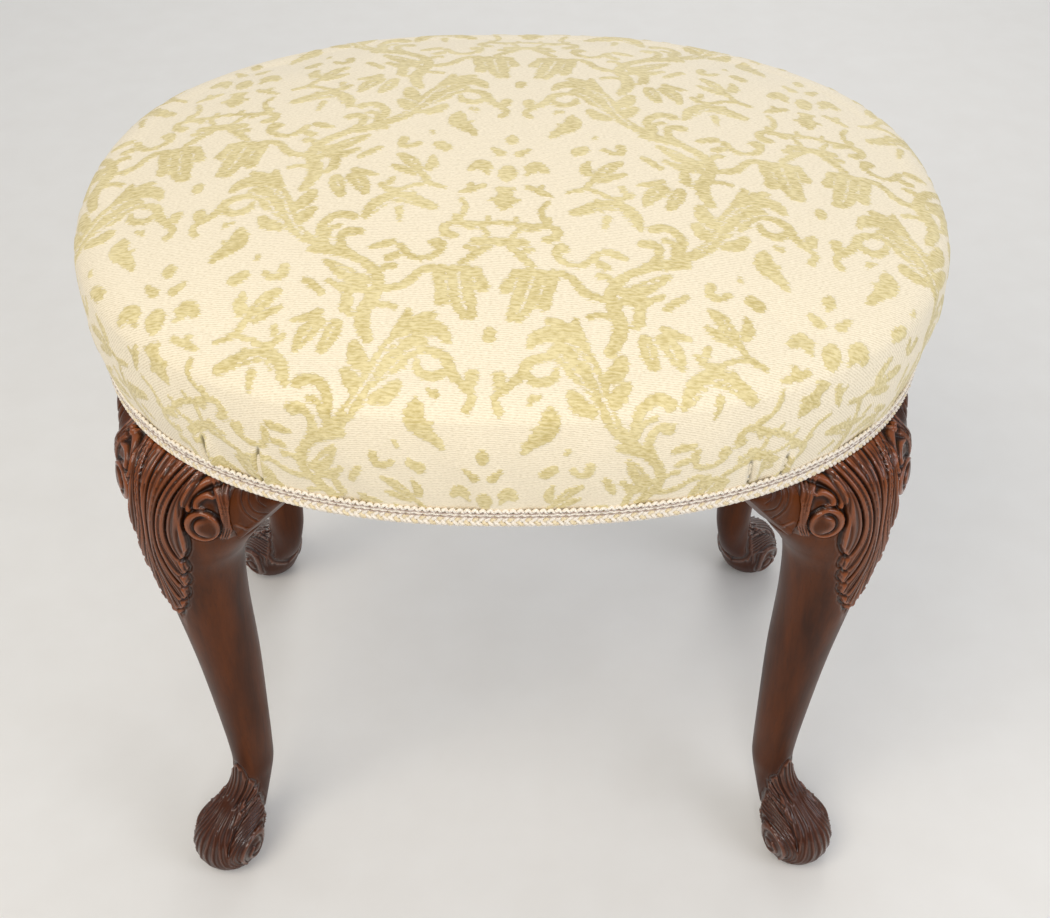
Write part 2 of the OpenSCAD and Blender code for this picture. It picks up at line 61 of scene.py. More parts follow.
# Studio
# A pale, plain floor, one broad soft lamp over the front left, a weaker one at the right,
# and an even pale surround.


def add(tree, kind, links=None, **settings):
    """Adds a node with its settings, and links or sets its inputs. An input that is given a
    node takes that node's first output, or the colour of a mix"""
    node = tree.nodes.new("ShaderNode" + kind)
    for name, value in settings.items():
        setattr(node, name, value)
    for place, value in (links or {}).items():
        if isinstance(value, bpy.types.Node):
            value = value.outputs[2 if value.bl_idname == "ShaderNodeMix" else 0]
        if isinstance(value, bpy.types.NodeSocket):
            tree.links.new(value, node.inputs[place])
        else:
            node.inputs[place].default_value = value
    return node


def colour(code):
    """An sRGB hex colour as linear red, green, blue and alpha"""
    parts = [int(code[i:i + 2], 16) / 255 for i in (1, 3, 5)]
    return (*[p / 12.92 if p <= 0.04045 else ((p + 0.055) / 1.055) ** 2.4 for p in parts], 1.0)


def new_material(name):
    """A new material and its node tree, which is still empty"""
    material = bpy.data.materials.new(name)
    material.use_nodes = True
    material.node_tree.nodes.clear()
    return material, material.node_tree


def mesh_of(work, name, smooth_sides=0):
    """The mesh of a finished bmesh, with faces of up to a number of sides shaded smooth"""
    for face in work.faces:
        face.smooth = face.smooth or len(face.verts) <= smooth_sides
    mesh = bpy.data.meshes.new(name)
    work.to_mesh(mesh)
    work.free()
    return mesh


# Matt paint: nearly white, with a speckle of about 3 mm that only breaks up its flatness
floor_paint, tree = new_material("pale_matt_floor")
speckle = add(tree, "TexNoise", {"Scale": 300.0, "Detail": 3.0})
tone = add(tree, "Mix", {0: speckle.outputs["Fac"], 6: colour("#E9E6E1"), 7: colour("#EFEDE9")},
           data_type="RGBA")
body = add(tree, "BsdfPrincipled", {"Base Color": tone, "Roughness": 0.85})
add(tree, "OutputMaterial", {"Surface": body})

work = bmesh.new()
bmesh.ops.create_grid(work, x_segments=4, y_segments=4, size=6.0)
floor = bpy.data.objects.new("studio_floor", mesh_of(work, "studio_floor"))
floor.data.materials.append(floor_paint)
scene.collection.objects.link(floor)

world = bpy.data.worlds.new("pale_surround")
world.use_nodes = True
scene.world = world
world.node_tree.nodes["Background"].inputs["Color"].default_value = colour("#ECEFF3")
world.node_tree.nodes["Background"].inputs["Strength"].default_value = 0.55

# Each lamp: its place and its width in metres, its power in watts, and its tint
seat_middle = Vector((0, 0, 0.3))
for name, place, size, power, tint in (
    ("key_softbox", (-0.75, -0.95, 1.75), 1.1, 14.5, "#FFF6E8"),
    ("fill_softbox", (1.25, -0.85, 1.05), 0.9, 6.5, "#F4F6FF"),
    ("front_softbox", (0.05, -1.35, 1.2), 0.3, 3.8, "#FFFFFF"),
    ("back_softbox", (0.3, 1.5, 1.5), 1.2, 9.0, "#FFFFFF"),
):
    lamp = bpy.data.lights.new(name, "AREA")
    lamp.size = size
    lamp.energy = power
    lamp.color = colour(tint)[:3]
    holder = bpy.data.objects.new(name, lamp)
    aim = seat_middle - Vector(place)
    holder.matrix_world = Matrix.Translation(place) @ aim.to_track_quat("-Z", "Y").to_matrix().to_4x4()
    scene.collection.objects.link(holder)

# Carved legs
# Each leg is one piece of mahogany, sawn to a cabriole curve from square stock with its post
# on top. A leaf is carved down the knee between two scrolls, and the foot is a carved scroll.
mm = 0.001

# Millimetres, as in the solids: the seat's line, the leg with its stock and the half-width
# of its knee, where it stands on that line and which way it points, the rails and its post
seat_w, seat_d, oval_power = 475, 374, 2.3
leg_h, stock, knee_half = 372, 68, 46
corner_turn, leg_turn = math.radians(34), math.radians(50)
rail_in, rail_h, post_d, post_half, post_root = 1.9, 60, 62, 30, 3

# Cells of a leg's skin, round it and up it
leg_across, leg_along = 248, 376


def oval(turn, grow=0.0):
    """Point of the seat's line at an angle, grown by a length"""
    x = np.abs(np.cos(turn)) / (seat_w / 2 + grow)
    y = np.abs(np.sin(turn)) / (seat_d / 2 + grow)
    r = (x ** oval_power + y ** oval_power) ** (-1 / oval_power)
    return np.stack([r * np.cos(turn), r * np.sin(turn)], -1)


corner = oval(np.array(corner_turn))
out_way = np.array([math.cos(leg_turn), math.sin(leg_turn)])
along_way = np.array([-math.sin(leg_turn), math.cos(leg_turn)])

# Rows from the floor up: height as a share of the leg's, then front, back and half-width as
# shares of the stock, measured from the seat's line
leg_rows = np.array([
    (0.003, 0.411, 0.091, 0.165), (0.016, 0.491, 0.011, 0.250), (0.043, 0.560, -0.072, 0.300),
    (0.073, 0.550, -0.135, 0.308), (0.102, 0.448, -0.256, 0.250), (0.134, 0.214, -0.356, 0.184),
    (0.167, 0.046, -0.414, 0.170), (0.204, -0.018, -0.446, 0.190), (0.247, -0.024, -0.456, 0.202),
    (0.349, 0.019, -0.461, 0.240), (0.511, 0.115, -0.475, 0.277), (0.672, 0.242, -0.448, 0.330),
    (0.780, 0.336, -0.469, 0.400), (0.833, 0.364, -0.541, 0.515), (0.882, 0.358, -0.670, 0.676),
    (0.927, 0.329, -0.834, 0.794), (0.962, 0.267, -0.910, 0.853), (0.984, 0.161, -0.911, 0.882),
    (1.000, 0.015, -0.912, 0.882),
])


def smooth_line(points, steps):
    """A smooth line through points, with a number of steps between neighbours"""
    points = np.asarray(points, float)
    spot = np.linspace(0, len(points) - 1, steps * (len(points) - 1) + 1)
    i = np.minimum(spot.astype(int), len(points) - 2)
    t = (spot - i)[:, None]
    a, b, c, d = (points[np.clip(i + k, 0, len(points) - 1)] for k in (-1, 0, 1, 2))
    bend, twist = a - 5 * b / 2 + 2 * c - d / 2, 3 * b - a - 3 * c + d
    return b + t * (c - a) / 2 + t * t * bend + t ** 3 * twist / 2


leg_line = smooth_line(leg_rows, 40)


def leg_section(z):
    """Middle, half-length and half-width of the leg at a height"""
    share = z / leg_h
    front, back, half = (stock * np.interp(share, leg_line[:, 0], leg_line[:, k]) for k in (1, 2, 3))
    return (front + back) / 2, (front - back) / 2, half


def leg_skin(a, z):
    """Point of the leg in its own frame: outwards, along the seat's line, and up"""
    middle, reach, half = leg_section(z)
    side = np.clip(half * np.sin(a), -knee_half, knee_half)
    return np.stack([middle + reach * np.cos(a), side, z], -1)


def girth(a, z):
    """Length round the leg from the middle of its front to an angle"""
    _, reach, half = leg_section(z)
    steps = 48
    total = np.zeros(a.shape)
    for k in range(steps):
        b = a * (k + 0.5) / steps
        across = np.where(np.abs(half * np.sin(b)) < knee_half, half * np.cos(b), 0)
        total += np.abs(a) / steps * np.hypot(reach * np.sin(b), across)
    return total


def outward(skin, a, z):
    """Unit normals of a skin that is given by two numbers"""
    turn = skin(a + 0.004, z) - skin(a - 0.004, z)
    rise = skin(a, z + 0.15) - skin(a, z - 0.15)
    normal = np.cross(turn, rise)
    return normal / np.maximum(np.linalg.norm(normal, axis=-1, keepdims=True), 1e-9)


def soft_step(low, high, x):
    """Smooth rise from 0 to 1 between two values"""
    t = np.clip((x - low) / (high - low), 0, 1)
    return t * t * (3 - 2 * t)


def near(u, z, line):
    """Distance of points to a line, and how far along it they lie as a share"""
    best, share = np.full(u.shape, 1e9), np.zeros(u.shape)
    steps = np.hypot(*np.diff(line, axis=0).T)
    gone, whole = 0.0, steps.sum()
    for (u0, z0), (u1, z1), length in zip(line[:-1], line[1:], steps):
        t = np.clip(((u - u0) * (u1 - u0) + (z - z0) * (z1 - z0)) / length ** 2, 0, 1)
        away = np.hypot(u - u0 - t * (u1 - u0), z - z0 - t * (z1 - z0))
        share = np.where(away < best, (gone + t * length) / whole, share)
        best = np.minimum(away, best)
        gone += length
    return best, share


def inside(u, z, outline):
    """Signed distance to a closed outline, more than 0 inside it"""
    away, _ = near(u, z, np.vstack([outline, outline[:1]]))
    within = np.zeros(u.shape, bool)
    for (u0, z0), (u1, z1) in zip(outline, np.roll(outline, -1, 0)):
        if z0 != z1:
            within ^= ((z0 > z) != (z1 > z)) & (u < (u1 - u0) * (z - z0) / (z1 - z0) + u0)
    return np.where(within, away, -away)


def ridge(u, z, points, widths, height):
    """A rounded ridge along a line, with its half-widths at both ends and between"""
    away, share = near(u, z, smooth_line(points, 8))
    half = np.interp(share, np.linspace(0, 1, len(widths)), widths)
    return height * np.sqrt(np.clip(1 - (away / half) ** 2, 0, 1))


def groove(u, z, points, half, depth):
    """A groove along a line that runs out softly at both ends"""
    away, share = near(u, z, smooth_line(points, 8))
    return -depth * np.exp(-(away / half) ** 2) * soft_step(0, 0.12, share) * soft_step(0, 0.12, 1 - share)


# The knee's leaf in millimetres: across from its middle, and height. Its lower edge has five
# lobes on either side. A vein runs up its middle and from each notch, where the gouge went
# deepest. The scroll beside it has a middle and a radius.
knee_leaf = np.array([
    (30, 376), (27.5, 366), (25, 357), (24.6, 350), (24.8, 342), (25.6, 336), (26.2, 330), (25.6, 324),
    (23.2, 318), (19.8, 313), (21.6, 311), (22, 306), (20.8, 302.5), (17.3, 299.5), (19, 297), (18.9, 292),
    (17.2, 289), (14, 286.5), (15.4, 284), (15, 279), (13.2, 275.5), (10, 272.5), (10.8, 270),
    (9.8, 266), (7.2, 262.5), (4.6, 260.5), (4.7, 257), (2.8, 253.5), (0, 251.5), (-5, 251.5), (-5, 376),
])
knee_veins = [
    [(0, 252), (0, 300), (0, 372)],
    [(4.6, 260.5), (3.6, 270), (2.4, 285), (1.8, 300), (1.5, 320), (1.9, 340), (3.6, 372)],
    [(10, 272.5), (7.5, 283), (5.0, 298), (3.6, 312), (3.2, 325), (3.8, 338), (6.2, 355), (9, 372)],
    [(14, 286.5), (11, 296), (7.6, 310), (5.6, 322), (5.6, 335), (7.8, 350), (11.5, 362), (15.5, 372)],
    [(17.3, 299.5), (14.5, 306), (11.2, 316), (8.8, 326), (8.6, 337), (11, 350), (15.2, 362), (20, 372)],
    [(19.8, 313), (17.5, 317), (14.6, 324), (13, 332), (13.6, 342), (16.4, 354), (20.4, 364), (24.5, 372)],
]
knee_notches = ((19.8, 313), (17.3, 299.5), (14, 286.5), (10, 272.5), (4.6, 260.5))
scroll_at, scroll_r = (35.6, 343.6), 10.2


def knee_relief(u, z):
    """Height of the knee's carving over the leg, across from its middle and up"""
    u = np.abs(u)
    edge = inside(u, z, knee_leaf)
    on_leaf = soft_step(-0.3, 1.8, edge)
    bounds = [np.interp(z, *smooth_line(v, 8)[:, ::-1].T) for v in knee_veins]
    bounds.append(np.maximum(26.5, bounds[-1] + 0.5))
    flutes = np.zeros(u.shape)
    for low, high in zip(bounds[:-1], bounds[1:]):
        width = np.maximum(high - low, 0.3)
        f = np.clip((u - low) / width, 0, 1)
        here = (u >= low) & (u < high)
        tilt = np.clip(width / 5, 0.2, 1) * 1.6 * (f - 0.45)
        fine = np.clip((width - 2.6) / 2, 0, 1) * 0.8 * (np.abs(np.sin(3 * np.pi * f)) - 0.6)
        flutes += np.where(here, tilt + fine, 0)

    # A cut along each vein: its depth, and the height at which it grows fainter
    cuts = ((2.2, 400), (1.2, 285), (1.5, 306), (2.3, 400), (1.2, 400), (2.1, 400))
    for vein, bound, (depth, top_end) in zip(knee_veins, bounds, cuts):
        strength = 0.25 + 0.75 * soft_step(top_end + 14, top_end - 6, z)
        half = 0.75 if depth > 2 else 0.55
        flutes -= depth * strength * np.exp(-((u - bound) / half) ** 2) * (z > vein[0][1] - 1)

    # The flutes lie in three rounded groups, each between the veins with these numbers
    for k, m in ((0, 3), (3, 5), (5, 6)):
        f = np.clip((u - bounds[k]) / np.maximum(bounds[m] - bounds[k], 0.5), 0, 1)
        flutes += np.where((u >= bounds[k]) & (u < bounds[m]), 1.1 * (np.sqrt(4 * f * (1 - f)) - 0.7), 0)
    height = on_leaf * (2.5 + flutes)
    height -= 0.9 * np.exp(-((edge + 0.9) / 0.8) ** 2)
    for u0, z0 in knee_notches:
        height -= 2.6 * np.exp(-(((u - u0) ** 2 + (z - z0) ** 2) / 2.2)) * (height > -0.5)

    # The scroll is a button with a band that winds in round it from the ear's side
    r = np.hypot(u - scroll_at[0], z - scroll_at[1])
    disc = soft_step(scroll_r + 0.5, scroll_r - 0.5, r)
    boss = 3.4 - 1.5 * (r / scroll_r) ** 2
    turn = np.degrees(np.arctan2(z - scroll_at[1], u - scroll_at[0] - 1.9)) % 360
    inner = np.hypot(u - scroll_at[0] - 1.9, z - scroll_at[1])
    hook = soft_step(70, 120, turn) * soft_step(292, 235, turn)
    boss -= hook * 2.3 * np.exp(-((inner - 7.0) / 1.15) ** 2)
    boss -= (1 - hook) * 0.4 * np.exp(-((inner - 7.2) / 0.6) ** 2)
    boss += 0.5 * (1 - hook) * np.exp(-((r - scroll_r + 1.2) / 0.8) ** 2)
    height = height * (1 - disc) + disc * boss - 1.2 * np.exp(-((r - scroll_r - 0.9) / 0.75) ** 2)

    # Flutes that fan out beside the scroll, two curled leaflets over it, and cuts beside them
    for k in range(4):
        s = 1.65 * k
        flute = [(31 + 2.2 * s, 373), (38.5 + 1.3 * s, 366), (44 + s, 359), (46.7 + 0.95 * s, 350),
                 (46.8 + 0.9 * s, 342), (44.8 + 0.8 * s, 334.5 - 0.2 * s)]
        height += (1 - disc) * ridge(u, z, flute, [0.7, 1.0, 1.0, 0.9, 0.35], 1.9 - 0.15 * k)
    for leaflet, widths, rise in (
            ([(37.5, 369.5), (31.5, 367.5), (27, 362.5), (25.6, 356.5), (28, 352.6)],
             [1.2, 2.4, 3.0, 2.8, 1.3], 2.3),
            ([(40, 362), (35.5, 362.5), (31.6, 359.5), (32, 355.6), (36, 354.8)],
             [1.0, 2.0, 2.6, 2.2, 1.1], 1.9)):
        height += (1 - disc) * ridge(u, z, leaflet, widths, rise)
    for line, half, depth in (
            ([(40.5, 368), (33.5, 364.8), (29.3, 360), (29, 355)], 0.8, 1.1),
            ([(27, 372), (24.6, 364), (22.8, 355), (23.6, 345), (25.2, 336)], 0.9, 1.2)):
        height -= depth * np.exp(-(near(u, z, smooth_line(line, 8))[0] / half) ** 2)
    return height * soft_step(373, 370.5, z) * soft_step(243, 252, z) * soft_step(55, 52.5, u)


def ear_relief(u, z):
    """Height of the small half-leaf on an ear, out from the knee's side and up"""
    height = groove(u, z, [(3, 372), (5.5, 362), (9, 354), (15, 349.5), (24, 350)], 0.9, 1.0)
    height += groove(u, z, [(8, 372), (10.5, 364), (15, 358.5), (23, 358)], 0.8, 0.8)
    height += groove(u, z, [(14, 372), (17, 367), (23, 364.5)], 0.7, 0.6)
    lower_leaf = [(1.5, 344), (6, 341), (12, 343.5), (19, 349), (26, 356)]
    return height + ridge(u, z, lower_leaf, [1.0, 1.6, 1.6, 1.0], 0.7)


# The edge of the foot's carving in millimetres, as on the knee, and the middle of its whorl
foot_border = np.array([
    (-5, 84), (0, 83), (3.6, 80.5), (6.2, 74), (7.6, 70.2), (10, 69.6), (13.4, 66.5), (14.4, 62), (17, 61.5),
    (19, 57.5), (20.6, 53.8), (25, 52), (31, 47.6), (38, 44), (46, 38.5), (54, 33.5), (62, 29),
    (70, 24), (75, 0), (-5, 0),
])
whorl_at = (37.5, 21.5)


def foot_relief(u, z):
    """Height of the foot's carving over the leg"""
    u = np.abs(u)
    edge = inside(u, z, foot_border)
    height = (1.1 + 0.9 * soft_step(56, 44, z)) * soft_step(-0.2, 1.6, edge)
    height -= 0.9 * np.exp(-((edge + 0.8) / 0.7) ** 2)
    for line, half, depth in (
            ([(0, 82), (0, 66), (0, 52)], 0.7, 1.0),
            ([(3.4, 79), (3, 66), (2.8, 53)], 0.7, 1.2),
            ([(7.6, 71), (7.2, 63), (6.6, 56), (6.2, 50)], 0.9, 1.9),
            ([(10.4, 68), (9.6, 60), (8.6, 52)], 0.6, 0.9),
            ([(13.8, 64.5), (12.6, 58), (11.4, 52)], 0.8, 1.7),
            ([(16.4, 60.5), (14.8, 55), (12.6, 51)], 0.6, 0.8),
            ([(19, 56.5), (16.8, 53.5), (13.6, 50.5), (11, 49)], 0.9, 2.0),
            ([(24, 52), (19.5, 48), (17.6, 43), (17.4, 34), (18.6, 24)], 1.0, 2.0)):
        height += groove(u, z, line, half, depth)

    # Gouge cuts that open downwards over the front, and arcs round the whorl at its side
    pitch = 1.6 + 0.125 * np.clip(53 - z, 0, 50)
    f = ((u + 0.5 * np.sin(0.31 * z + 0.2 * u)) / pitch + 0.5) % 1.0
    front = soft_step(18.4, 16.6, u) * soft_step(53, 46, z) * soft_step(4, 30, z)
    height += front * (1.5 + 0.6 * np.sin(1.3 * u + 0.05 * z)) * (0.5 - np.sqrt(4 * f * (1 - f)))
    r = np.hypot(u - whorl_at[0], z - whorl_at[1])
    f = ((r - 10.2) / 3.1 + 0.15 * np.sin(0.4 * u)) % 1.0
    side = soft_step(17, 19, u) * soft_step(11, 12.5, r) * soft_step(0.3, 2.2, edge)
    side *= soft_step(-9, 3, z - whorl_at[1] + 0.5 * (whorl_at[0] - u))
    height += side * 1.7 * (0.5 - np.sqrt(4 * f * (1 - f)))
    spiral = [(27.4, 12), (26.6, 21), (29.5, 29), (36, 33), (43, 30.5), (46.8, 23.5), (45, 15.5),
              (39.5, 11.6), (34, 14), (32.6, 19.5), (35.6, 24.4)]
    height += ridge(u, z, spiral, [1.2, 2.0, 2.3, 2.3, 2.0, 1.6, 1.2], 1.7)
    height += 1.7 * np.sqrt(np.clip(1 - (np.hypot(u - 39.4, z - 19.8) / 4.2) ** 2, 0, 1))
    height += ridge(u, z, [(10.4, 54), (12.4, 49.5), (13.6, 43.5)], [1.2, 2.4, 1.0], 1.7)
    return height * soft_step(1.5, 8, z)


# The shin is plain between two heights. The knee's carving ends at an angle from its front,
# and the half that looks sideways is narrower, so there it is drawn in.
shin_low, shin_high, knee_round = 100, 245, 1.9
side_from, side_to = (0, 16.5, 28.5, 42, 52, 100), (0, 25, 35.6, 46.5, 52, 100)


def leg_relief(a, z):
    """Height of the leg's carving"""
    u = girth(a, z)
    half = leg_section(z)[2]
    knee = (z > shin_high) & (np.abs(half * np.sin(a)) < knee_half) & (np.abs(a) < knee_round)
    foot = z < shin_low
    height = np.zeros(a.shape)
    on_side = np.interp(u, side_from, side_to)
    height[knee] = knee_relief(np.where(a < 0, on_side, u)[knee], z[knee])
    height[foot] = foot_relief(u[foot], z[foot])
    return height


def row_order(x, y, across, along):
    """The order in which a grid's vertices lie row by row"""
    return np.lexsort((np.rint(x * across), np.rint(y * along)))


def hollow(height, x, y, across, along, reach=3):
    """How far each point of a grid lies below its neighbourhood's mean height, in millimetres"""
    order = row_order(x, y, across, along)
    rows = height[order].reshape(along + 1, across + 1)
    mean = rows
    for axis in (0, 1, 0, 1):
        mean = sum(np.roll(mean, k, axis) for k in range(-reach, reach + 1)) / (2 * reach + 1)
    spread = np.empty(len(height))
    spread[order] = (mean - rows).ravel()
    return spread


def grid(across, along):
    """A flat grid of faces in a bmesh, and each vertex's share of the way across and along it"""
    work = bmesh.new()
    bmesh.ops.create_grid(work, x_segments=across, y_segments=along, size=0.5)
    spots = np.array([v.co[:2] for v in work.verts]) + 0.5
    return work, spots[:, 0], spots[:, 1]


def move(work, points):
    """Puts the vertices of a bmesh at points that are given in millimetres"""
    for v, p in zip(work.verts, points * mm):
        v.co = p


def to_seat(points):
    """Points of a leg's frame in the seat's frame, at the back right corner"""
    flat = corner + points[:, :1] * out_way + points[:, 1:2] * along_way
    return np.column_stack([flat, points[:, 2]])


# The rows lie closer where the leg is carved. The lowest four make the sole, and the columns
# are closer round the front of the knee than round the foot.
sole_z, first_cut_z = 1.2, 1.15
work, x, y = grid(leg_across, leg_along)
row = np.rint(y * leg_along)
z = np.interp(row, [0, 3, 4, 66, 158, 192, leg_along - 1, leg_along],
              [0, 0, sole_z, 30, 90, 250, leg_h, leg_h])
s = np.abs(2 * x - 1)
at_knee = soft_step(shin_low, shin_high, z)
knee_turn, foot_turn = np.interp(s, [0, 0.82, 1], [0, 62, 180]), np.interp(s, [0, 0.86, 1], [0, 140, 180])
a = np.sign(2 * x - 1) * np.radians(at_knee * knee_turn + (1 - at_knee) * foot_turn)
z = np.clip(z, first_cut_z, None)
height = leg_relief(a, z)
points = leg_skin(a, z) + outward(leg_skin, a, z) * height[:, None]
sole = leg_section(np.array(sole_z))[0]
for k, radius, rise in ((0, 0, 0), (1, 6, 0), (2, 11.5, 0), (3, 12, 0.6)):
    ring = a[row == k]
    points[row == k] = np.column_stack(
        [sole + radius * np.cos(ring), radius * np.sin(ring), np.full(len(ring), rise)])
points[row == leg_along] = (leg_section(np.array(float(leg_h)))[0], 0, leg_h)
move(work, to_seat(points))
layer = work.verts.layers.float.new("hollow")
for v, h in zip(work.verts, hollow(height, x, y, leg_across, leg_along)):
    v[layer] = h
bmesh.ops.remove_doubles(work, verts=work.verts, dist=1e-6)

# The post is a cube whose outer face is planed to the rails' curve
post = bmesh.ops.create_cube(work, size=1.0)["verts"]
for v in post:
    outer, side, low = v.co.x > 0, math.copysign(post_half, v.co.y), v.co.z < 0
    t = np.linspace(0, math.pi / 2, 721)
    ring = oval(t, -rail_in) - corner
    reach = np.interp(side, ring @ along_way, ring @ out_way)
    spot = corner + (reach if outer else -post_d) * out_way + side * along_way
    v.co = Vector((spot[0], spot[1], leg_h - post_root if low else leg_h + rail_h)) * mm
bmesh.ops.recalc_face_normals(work, faces=work.faces)
leg_mesh = mesh_of(work, "leg", 4)

# Mahogany under a dark French polish: red-brown with fine straight pores along the leg, a
# nearly black old polish in the cuts, and worn, brighter ridges. It shines softly. Its
# streaks are about 18 mm wide. The pores are drawn 1 mm wide, since real ones don't show.
mahogany, tree = new_material("french_polished_mahogany")
place = add(tree, "TexCoord").outputs["Object"]
along = add(tree, "Mapping", {"Vector": place, "Scale": (1.0, 1.0, 0.12)})
figure = add(tree, "TexNoise", {"Vector": along, "Scale": 55.0, "Detail": 6.0, "Roughness": 0.65})
pores = add(tree, "Mapping", {"Vector": place, "Scale": (1.0, 1.0, 0.06)})
pore = add(tree, "TexNoise", {"Vector": pores, "Scale": 900.0, "Detail": 2.0})
streak = add(tree, "MapRange", {0: figure.outputs["Fac"], 1: 0.32, 2: 0.68})
tone = add(tree, "Mix", {0: streak, 6: colour("#341502"), 7: colour("#5C2B05")}, data_type="RGBA")
carved = add(tree, "Attribute", attribute_name="hollow").outputs["Fac"]
worn = add(tree, "MapRange", {0: carved, 1: -0.12, 2: -0.8, 3: 0.0, 4: 0.75})
warm = add(tree, "Mix", {0: worn, 6: tone, 7: colour("#8E4611")}, data_type="RGBA")
cut = add(tree, "MapRange", {0: carved, 1: 0.05, 2: 0.75, 3: 0.0, 4: 0.9})
patina = add(tree, "Mix", {0: cut, 6: warm, 7: colour("#1C0C06")}, data_type="RGBA")
specks = add(tree, "MapRange", {0: pore.outputs["Fac"], 1: 0.6, 2: 0.72, 3: 0.0, 4: 0.35})
low = add(tree, "SeparateXYZ", {"Vector": place})
# Below 100 mm the colour grows darker towards the floor, which also dulls the bright ridges there
low_darkening = add(tree, "MapRange", {0: low.outputs["Z"], 1: 0.1, 2: 0.05, 3: 0.0, 4: 0.6})
darkened_low = add(tree, "Mix", {0: low_darkening, 6: patina, 7: colour("#3A1B10")}, data_type="RGBA")
grained = add(tree, "Mix", {0: specks, 6: darkened_low, 7: colour("#2A1208")}, data_type="RGBA")
handled = add(tree, "TexNoise", {"Vector": place, "Scale": 40.0, "Detail": 3.0})
dull = add(tree, "MapRange", {0: handled.outputs["Fac"], 3: 0.3, 4: 0.46})
relief = add(tree, "Math", {0: carved}, operation="ABSOLUTE")
polished = add(tree, "MapRange", {0: relief, 1: 0.05, 2: 0.35, 3: 0.02, 4: 0.85})
dusty = add(tree, "MapRange", {0: carved, 1: 0.1, 2: 0.7, 3: 1.0, 4: 0.3})
waxed = add(tree, "MapRange", {0: low.outputs["Z"], 1: 0.1, 2: 0.07, 3: 0.0, 4: 1.2})
shiny = add(tree, "Math", {0: dusty, 1: waxed}, operation="MAXIMUM")
glint = add(tree, "Math", {0: polished, 1: shiny}, operation="MULTIPLY")
bump = add(tree, "Bump", {"Height": pore.outputs["Fac"], "Strength": 0.15, "Distance": 0.0003})
body = add(tree, "BsdfPrincipled", {
    "Base Color": grained, "Roughness": dull, "Specular IOR Level": 0.15,
    "Coat Weight": glint, "Coat Roughness": 0.1, "Normal": bump})
add(tree, "OutputMaterial", {"Surface": body})

corners = (("front_left", -1, -1), ("front_right", 1, -1), ("back_left", -1, 1), ("back_right", 1, 1))


def show(mesh, name, finish, node):
    """A piece with its finish, in place of its CAD node"""
    mesh.materials.append(finish)
    piece = bpy.data.objects.new(name, mesh)
    scene.collection.objects.link(piece)
    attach(piece, "root")
    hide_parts(node)
    return piece


def at_corner(source, name, sx, sy, finish, node):
    """A copy of a back right piece's mesh at one corner"""
    work = bmesh.new()
    work.from_mesh(source)
    work.transform(Matrix.Diagonal((sx, sy, 1, 1)))
    if sx * sy < 0:
        bmesh.ops.reverse_faces(work, faces=work.faces)
    show(mesh_of(work, name), name, finish, node)


for name, sx, sy in corners:
    at_corner(leg_mesh, "carved_leg_" + name, sx, sy, mahogany, "leg_" + name)

# Knee brackets
# Two small ears of the same mahogany, glued to each knee's sides under the rails. They carry
# the knee's curve out along the seat, with the scroll's outer flutes and a small leaf.

# Length and thickness in millimetres. The drop at the knee and the swell are shares of the
# stock, the tip's drop is a share of the knee's, and the swell's rows run from the top down.
# Of the skin's cells across, the face takes a share, and the other three sides the rest.
bracket_l, bracket_t = 28, 20
drop_share, tip_share, swell_share = 0.62, 0.1, 0.19
bracket_rows = np.array([(0, 0.05), (0.14, 0.55), (0.32, 0.92), (0.6, 1.0), (0.85, 0.6), (1, 0.1)])
bracket_across, bracket_along, face_share = 150, 64, 0.72
t = np.linspace(0, math.pi / 2, 1441)
seat_ring = oval(t) - corner
seat_along, seat_out = seat_ring @ along_way, seat_ring @ out_way


def bracket_skin(t, s, side):
    """Outer face of a bracket: shares of the way along it and down it"""
    along = side * (knee_half + t * bracket_l)
    line, first = (np.interp(place, seat_along, seat_out) for place in (along, side * knee_half))
    taper = 1 - (1 - tip_share) * t
    z = leg_h - stock * drop_share * taper * s
    swell = np.interp(s, *smooth_line(bracket_rows, 12).T)
    plain = line + swell_share * stock * taper * swell

    # At the knee it starts on the leg's own skin and leaves it at the same slope
    middle, reach, half = leg_section(leg_h - stock * drop_share * s)
    knee = middle + reach * np.sqrt(np.clip(1 - (knee_half / np.maximum(half, knee_half + 0.01)) ** 2, 0, 1))
    join = soft_step(1.0, 0.0, t) * soft_step(1.0, 0.85, s)
    tilt = np.arcsin(np.clip(knee_half / np.maximum(half, knee_half + 0.5), 0, 1))
    t = np.clip(t, 0, 1)
    dip = (0.45 - reach / half * np.tan(tilt)).clip(-1.2, 0) * bracket_l * t * (1 - t) ** 4
    out = plain + dip * soft_step(1.0, 0.6, s) + join * (knee - first - swell_share * stock * swell)
    return np.stack([out, along * np.ones_like(z), z], -1)


